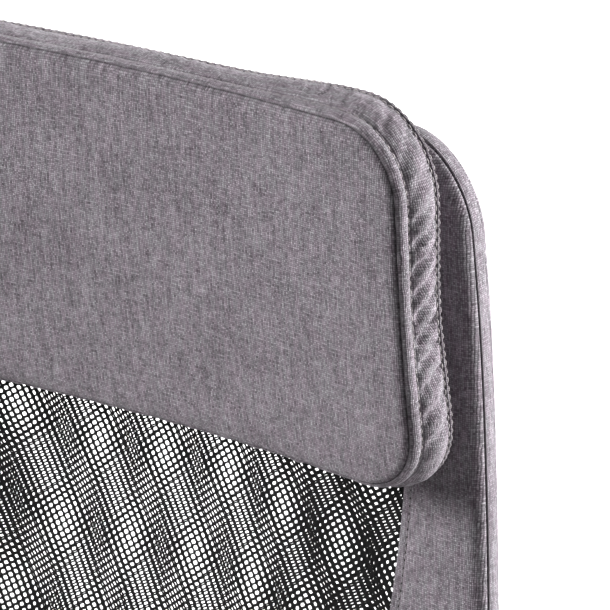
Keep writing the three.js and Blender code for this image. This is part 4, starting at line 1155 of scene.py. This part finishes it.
def arms():
    for name, side in (("left", 1), ("right", -1)):
        low, front, rear, x = 346, -118, 96, 283
        corners = np.array([(205, front + 22, low), (x, front + 22, low), (x, front, 636), (x, rear, 644),
                            (x, rear - 12, low), (205, rear - 12, low)], float)
        corners[:, 0] *= side
        tube = piped(bent_path(corners * MM, 46 * MM, 16), 10 * MM, 32)
        xs = sorted((side * 150, side * 223))
        plate = []
        outline = filleted([(xs[0], front), (xs[1], front), (xs[1], rear + 8), (xs[0], rear + 8)], 9, 5)
        for z, inset in ((355.0, 0.6), (355.4, 0), (359.6, 0), (360.0, 0.6)):
            middle = outline.mean(0)
            shrink = 1 - inset / np.abs(outline - middle).max(0)
            plate.append(np.column_stack([middle + (outline - middle) * shrink, np.full(len(outline), z)]) * MM)
        finished(f"arm_frame_{name}_chromed", [tube, lofted(plate)], CHROME, "seat", "chrome",
                 f"arm_frame_{name}", sharp=45)

        # Pad: a soft moulding, broader at the front, dished along its top.
        rings = []
        rise = 8 / 214
        for t in np.linspace(0, 1, 64):
            y = mix(-150, 118, (1 - math.cos(math.pi * t)) / 2)
            end = max(0, abs(mix(-1, 1, (y + 150) / 268)) - 0.80) / 0.2
            half = 35.6 * mix(1, 0.9, smoothstep((y + 150) / 268)) * math.sqrt(max(0.004, 1 - end ** 2.2))
            base = 647.4 + rise * (y + 118)
            height = 24.6 - 2.2 * math.sin(math.pi * (y + 150) / 268) - 5 * end ** 3
            angle = np.arange(56) * 2 * math.pi / 56
            c, s = np.cos(angle), np.sin(angle)
            across = half * np.sign(c) * np.abs(c) ** 0.55
            up = np.where(s > 0, np.abs(s) ** 0.55, -np.abs(s) ** 0.35)
            dished = 1.4 * np.cos(across / half * math.pi / 2) * (s > 0)
            z = base + 8 + np.where(s > 0, up * (height - 8), up * 8) - dished
            rings.append(np.column_stack([side * x + across, np.full(56, y), z]) * MM)
        finished(f"arm_pad_{name}_moulded", [lofted(rings)], SOFT_TOUCH, "seat", "black_plastic",
                 f"arm_pad_{name}", sharp=60)


# ---------------------------------------------------------------- seat cushion
def inflated(piece, voxel, pressure, cap, pinned):
    """Cloth blown up a little from a closed shape; points for which `pinned` is true stay where they are."""
    bpy.context.view_layer.objects.active = piece
    remesh = piece.modifiers.new("remesh", "REMESH")
    remesh.mode, remesh.voxel_size = "VOXEL", voxel
    bpy.ops.object.modifier_apply(modifier="remesh")
    mesh = piece.data
    start = np.array([v.co[:] for v in mesh.vertices])
    group = piece.vertex_groups.new(name="held")
    group.add([int(i) for i in np.flatnonzero(pinned(start))], 1.0, "ADD")
    cloth = piece.modifiers.new("cloth", "CLOTH")
    cloth.settings.quality = 6
    cloth.settings.mass = 0.4
    cloth.settings.tension_stiffness = cloth.settings.compression_stiffness = 18
    cloth.settings.shear_stiffness = 8
    cloth.settings.bending_stiffness = 1.2
    cloth.settings.use_pressure = True
    cloth.settings.uniform_pressure_force = pressure
    cloth.settings.vertex_group_mass = "held"
    cloth.settings.effector_weights.gravity = 0
    cloth.point_cache.frame_start, cloth.point_cache.frame_end = 1, 20
    for f in range(1, 21):
        bpy.context.scene.frame_set(f)
    shaped = piece.evaluated_get(bpy.context.evaluated_depsgraph_get())
    moved = np.array([v.co[:] for v in shaped.data.vertices]) - start
    piece.modifiers.clear()
    bpy.context.scene.frame_set(1)
    size = np.linalg.norm(moved, axis=1)[:, None]
    end = start + moved * np.minimum(1, cap / np.maximum(size, 1e-9))
    mesh.vertices.foreach_set("co", end.ravel())
    smooth = piece.modifiers.new("smooth", "SUBSURF")
    smooth.levels = smooth.render_levels = 1
    bpy.ops.object.modifier_apply(modifier="smooth")
    mesh.polygons.foreach_set("use_smooth", [True] * len(mesh.polygons))
    return piece


def flat_weave(mesh, spots):
    """Lays the weave on each face from the side it faces most."""
    layer = mesh.uv_layers.new(name="weave")
    normals, sizes = np.zeros(len(mesh.polygons) * 3, np.float32), np.zeros(len(mesh.polygons), np.int32)
    corner = np.zeros(len(mesh.loops), np.int32)
    mesh.polygons.foreach_get("normal", normals)
    mesh.polygons.foreach_get("loop_total", sizes)
    mesh.loops.foreach_get("vertex_index", corner)
    side = np.repeat(np.abs(normals.reshape(-1, 3)).argmax(1), sizes)
    axes = np.array([(1, 2), (0, 2), (0, 1)])[side]
    layer.data.foreach_set("uv", np.take_along_axis(spots[corner], axes, 1).astype(np.float32).ravel())


def seat_cushion():
    """The seat's cover: a shape with a deep round front edge is blown up as cloth, then pulled in at its seam."""
    low, high = box_of("seat_cushion")
    inset, top_z = 7 * MM, high[2] - 8 * MM
    corner, around = 72 * MM, 240
    outline, normal, s, length = rounded_outline(high[0] - inset, low[1] + inset, high[1] - inset, corner, corner,
                                                 around)
    middle = np.array([0, (low[1] + high[1]) / 2])
    front = smoothstep((-normal[:, 1] - 0.2) / 0.75)
    round_edge = mix(24 * MM, 58 * MM, front)
    rings = []

    def ring(inside, z, scale=1.0):
        spots = middle + (outline - normal * np.reshape(inside, (-1, 1)) - middle) * scale
        rings.append(np.column_stack([spots, np.broadcast_to(z, (around,))]))

    def over_edge(t):
        turn = t * math.pi / 2
        return round_edge * (1 - math.cos(turn)), top_z - round_edge * (1 - math.sin(turn))

    ring(3 * MM, low[2] + 0.5 * MM)
    ring(0.5 * MM, low[2] + 3 * MM)
    for t in np.linspace(0, 1, 11):
        ring(*over_edge(t))
    crown = 4 * MM
    for k in range(1, 8):
        ring(round_edge, top_z + crown * (1 - (1 - k / 8) ** 2), 1 - k / 8)
    points, faces = np.array(rings).reshape(-1, 3), ring_faces(len(rings), around)
    faces += [tuple(range(around)), tuple((len(rings) - 1) * around + i for i in range(around))]
    piece = facing_out(make("seat_pad", points, faces, CLOTH))
    inflated(piece, 6 * MM, 5.0, 9 * MM, lambda p: p[:, 2] < low[2] + 3 * MM)

    # Sewn seam between the top panel and the sides, with painted shade along its groove, then the weave's places.
    mesh = piece.data
    spots = np.array([v.co[:] for v in mesh.vertices])
    tree = BVHTree.FromPolygons([tuple(p) for p in spots], [tuple(f.vertices) for f in mesh.polygons])
    inside, z = over_edge(0.17)
    line = outline - normal * np.reshape(inside, (-1, 1))
    seam = []
    for (x, y), height, (nx, ny) in zip(line, z, normal):
        place, out, _, _ = tree.find_nearest(Vector((x + nx * 0.004, y + ny * 0.004, height)))
        seam.append(place[:])
    seam = np.array(seam)
    for _ in range(3):
        seam = (np.roll(seam, 1, 0) + seam + np.roll(seam, -1, 0)) / 3
    finder = KDTree(len(seam))
    for i, place in enumerate(seam):
        finder.insert(Vector(place), i)
    finder.balance()
    found = [finder.find(p)[1:] for p in spots]
    index, gap = np.array([f[0] for f in found]), np.array([f[1] for f in found])
    out = np.zeros(len(spots) * 3, np.float32)
    mesh.vertices.foreach_get("normal", out)
    wave = Wave(31, length, 12 * MM, 60 * MM)
    groove = 2.6 * MM * np.exp(-((gap / (3.2 * MM)) ** 2))
    dip = groove + 0.5 * MM * wave(s[index]) * np.exp(-((gap / (12 * MM)) ** 2))
    spots -= out.reshape(-1, 3) * dip[:, None]
    mesh.vertices.foreach_set("co", spots.ravel())
    # Painted shade along the seam's groove.
    crease_shade = np.exp(-((gap / (2.2 * MM)) ** 2))
    attribute = mesh.attributes.new("crease_shade", "FLOAT", "POINT")
    attribute.data.foreach_set("value", crease_shade.astype(np.float32))
    mesh.update()
    flat_weave(mesh, spots)
    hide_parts("seat_cushion")
    ride(piece, "seat")

    # Topstitching 8 mm in from the seam, on the top panel.
    tree = BVHTree.FromPolygons([tuple(v.co) for v in mesh.vertices],
                                [tuple(f.vertices) for f in mesh.polygons])
    row, up = [], []
    for place, (nx, ny) in zip(seam, normal):
        near, out, _, _ = tree.find_nearest(Vector(place) + Vector((-nx * 0.008, -ny * 0.008, 0.005)))
        row.append(near[:])
        up.append(out[:])
    row, up = np.vstack([row, row[:1]]), np.vstack([up, up[:1]])
    for _ in range(4):
        row = (np.roll(row, 1, 0) + row + np.roll(row, -1, 0)) / 3
    threads = stitches("seat_topstitch", row[:-1], up[:-1], STITCH, 3.5 * MM, 0.45 * MM, THREAD_LIGHT, 0.2 * MM)
    ride(threads, "seat")


camera()
stage()
headrest_pad()
edging()
net("net_front_layer", 0.9 * MM, FRONT_NET, "net_front")
net("net_rear_layer", BACK_DEPTH - 0.9 * MM, REAR_NET, "net_rear")
casters()
star_base()
column()
mechanism()
lever()
back_tube()
arms()
seat_cushion()
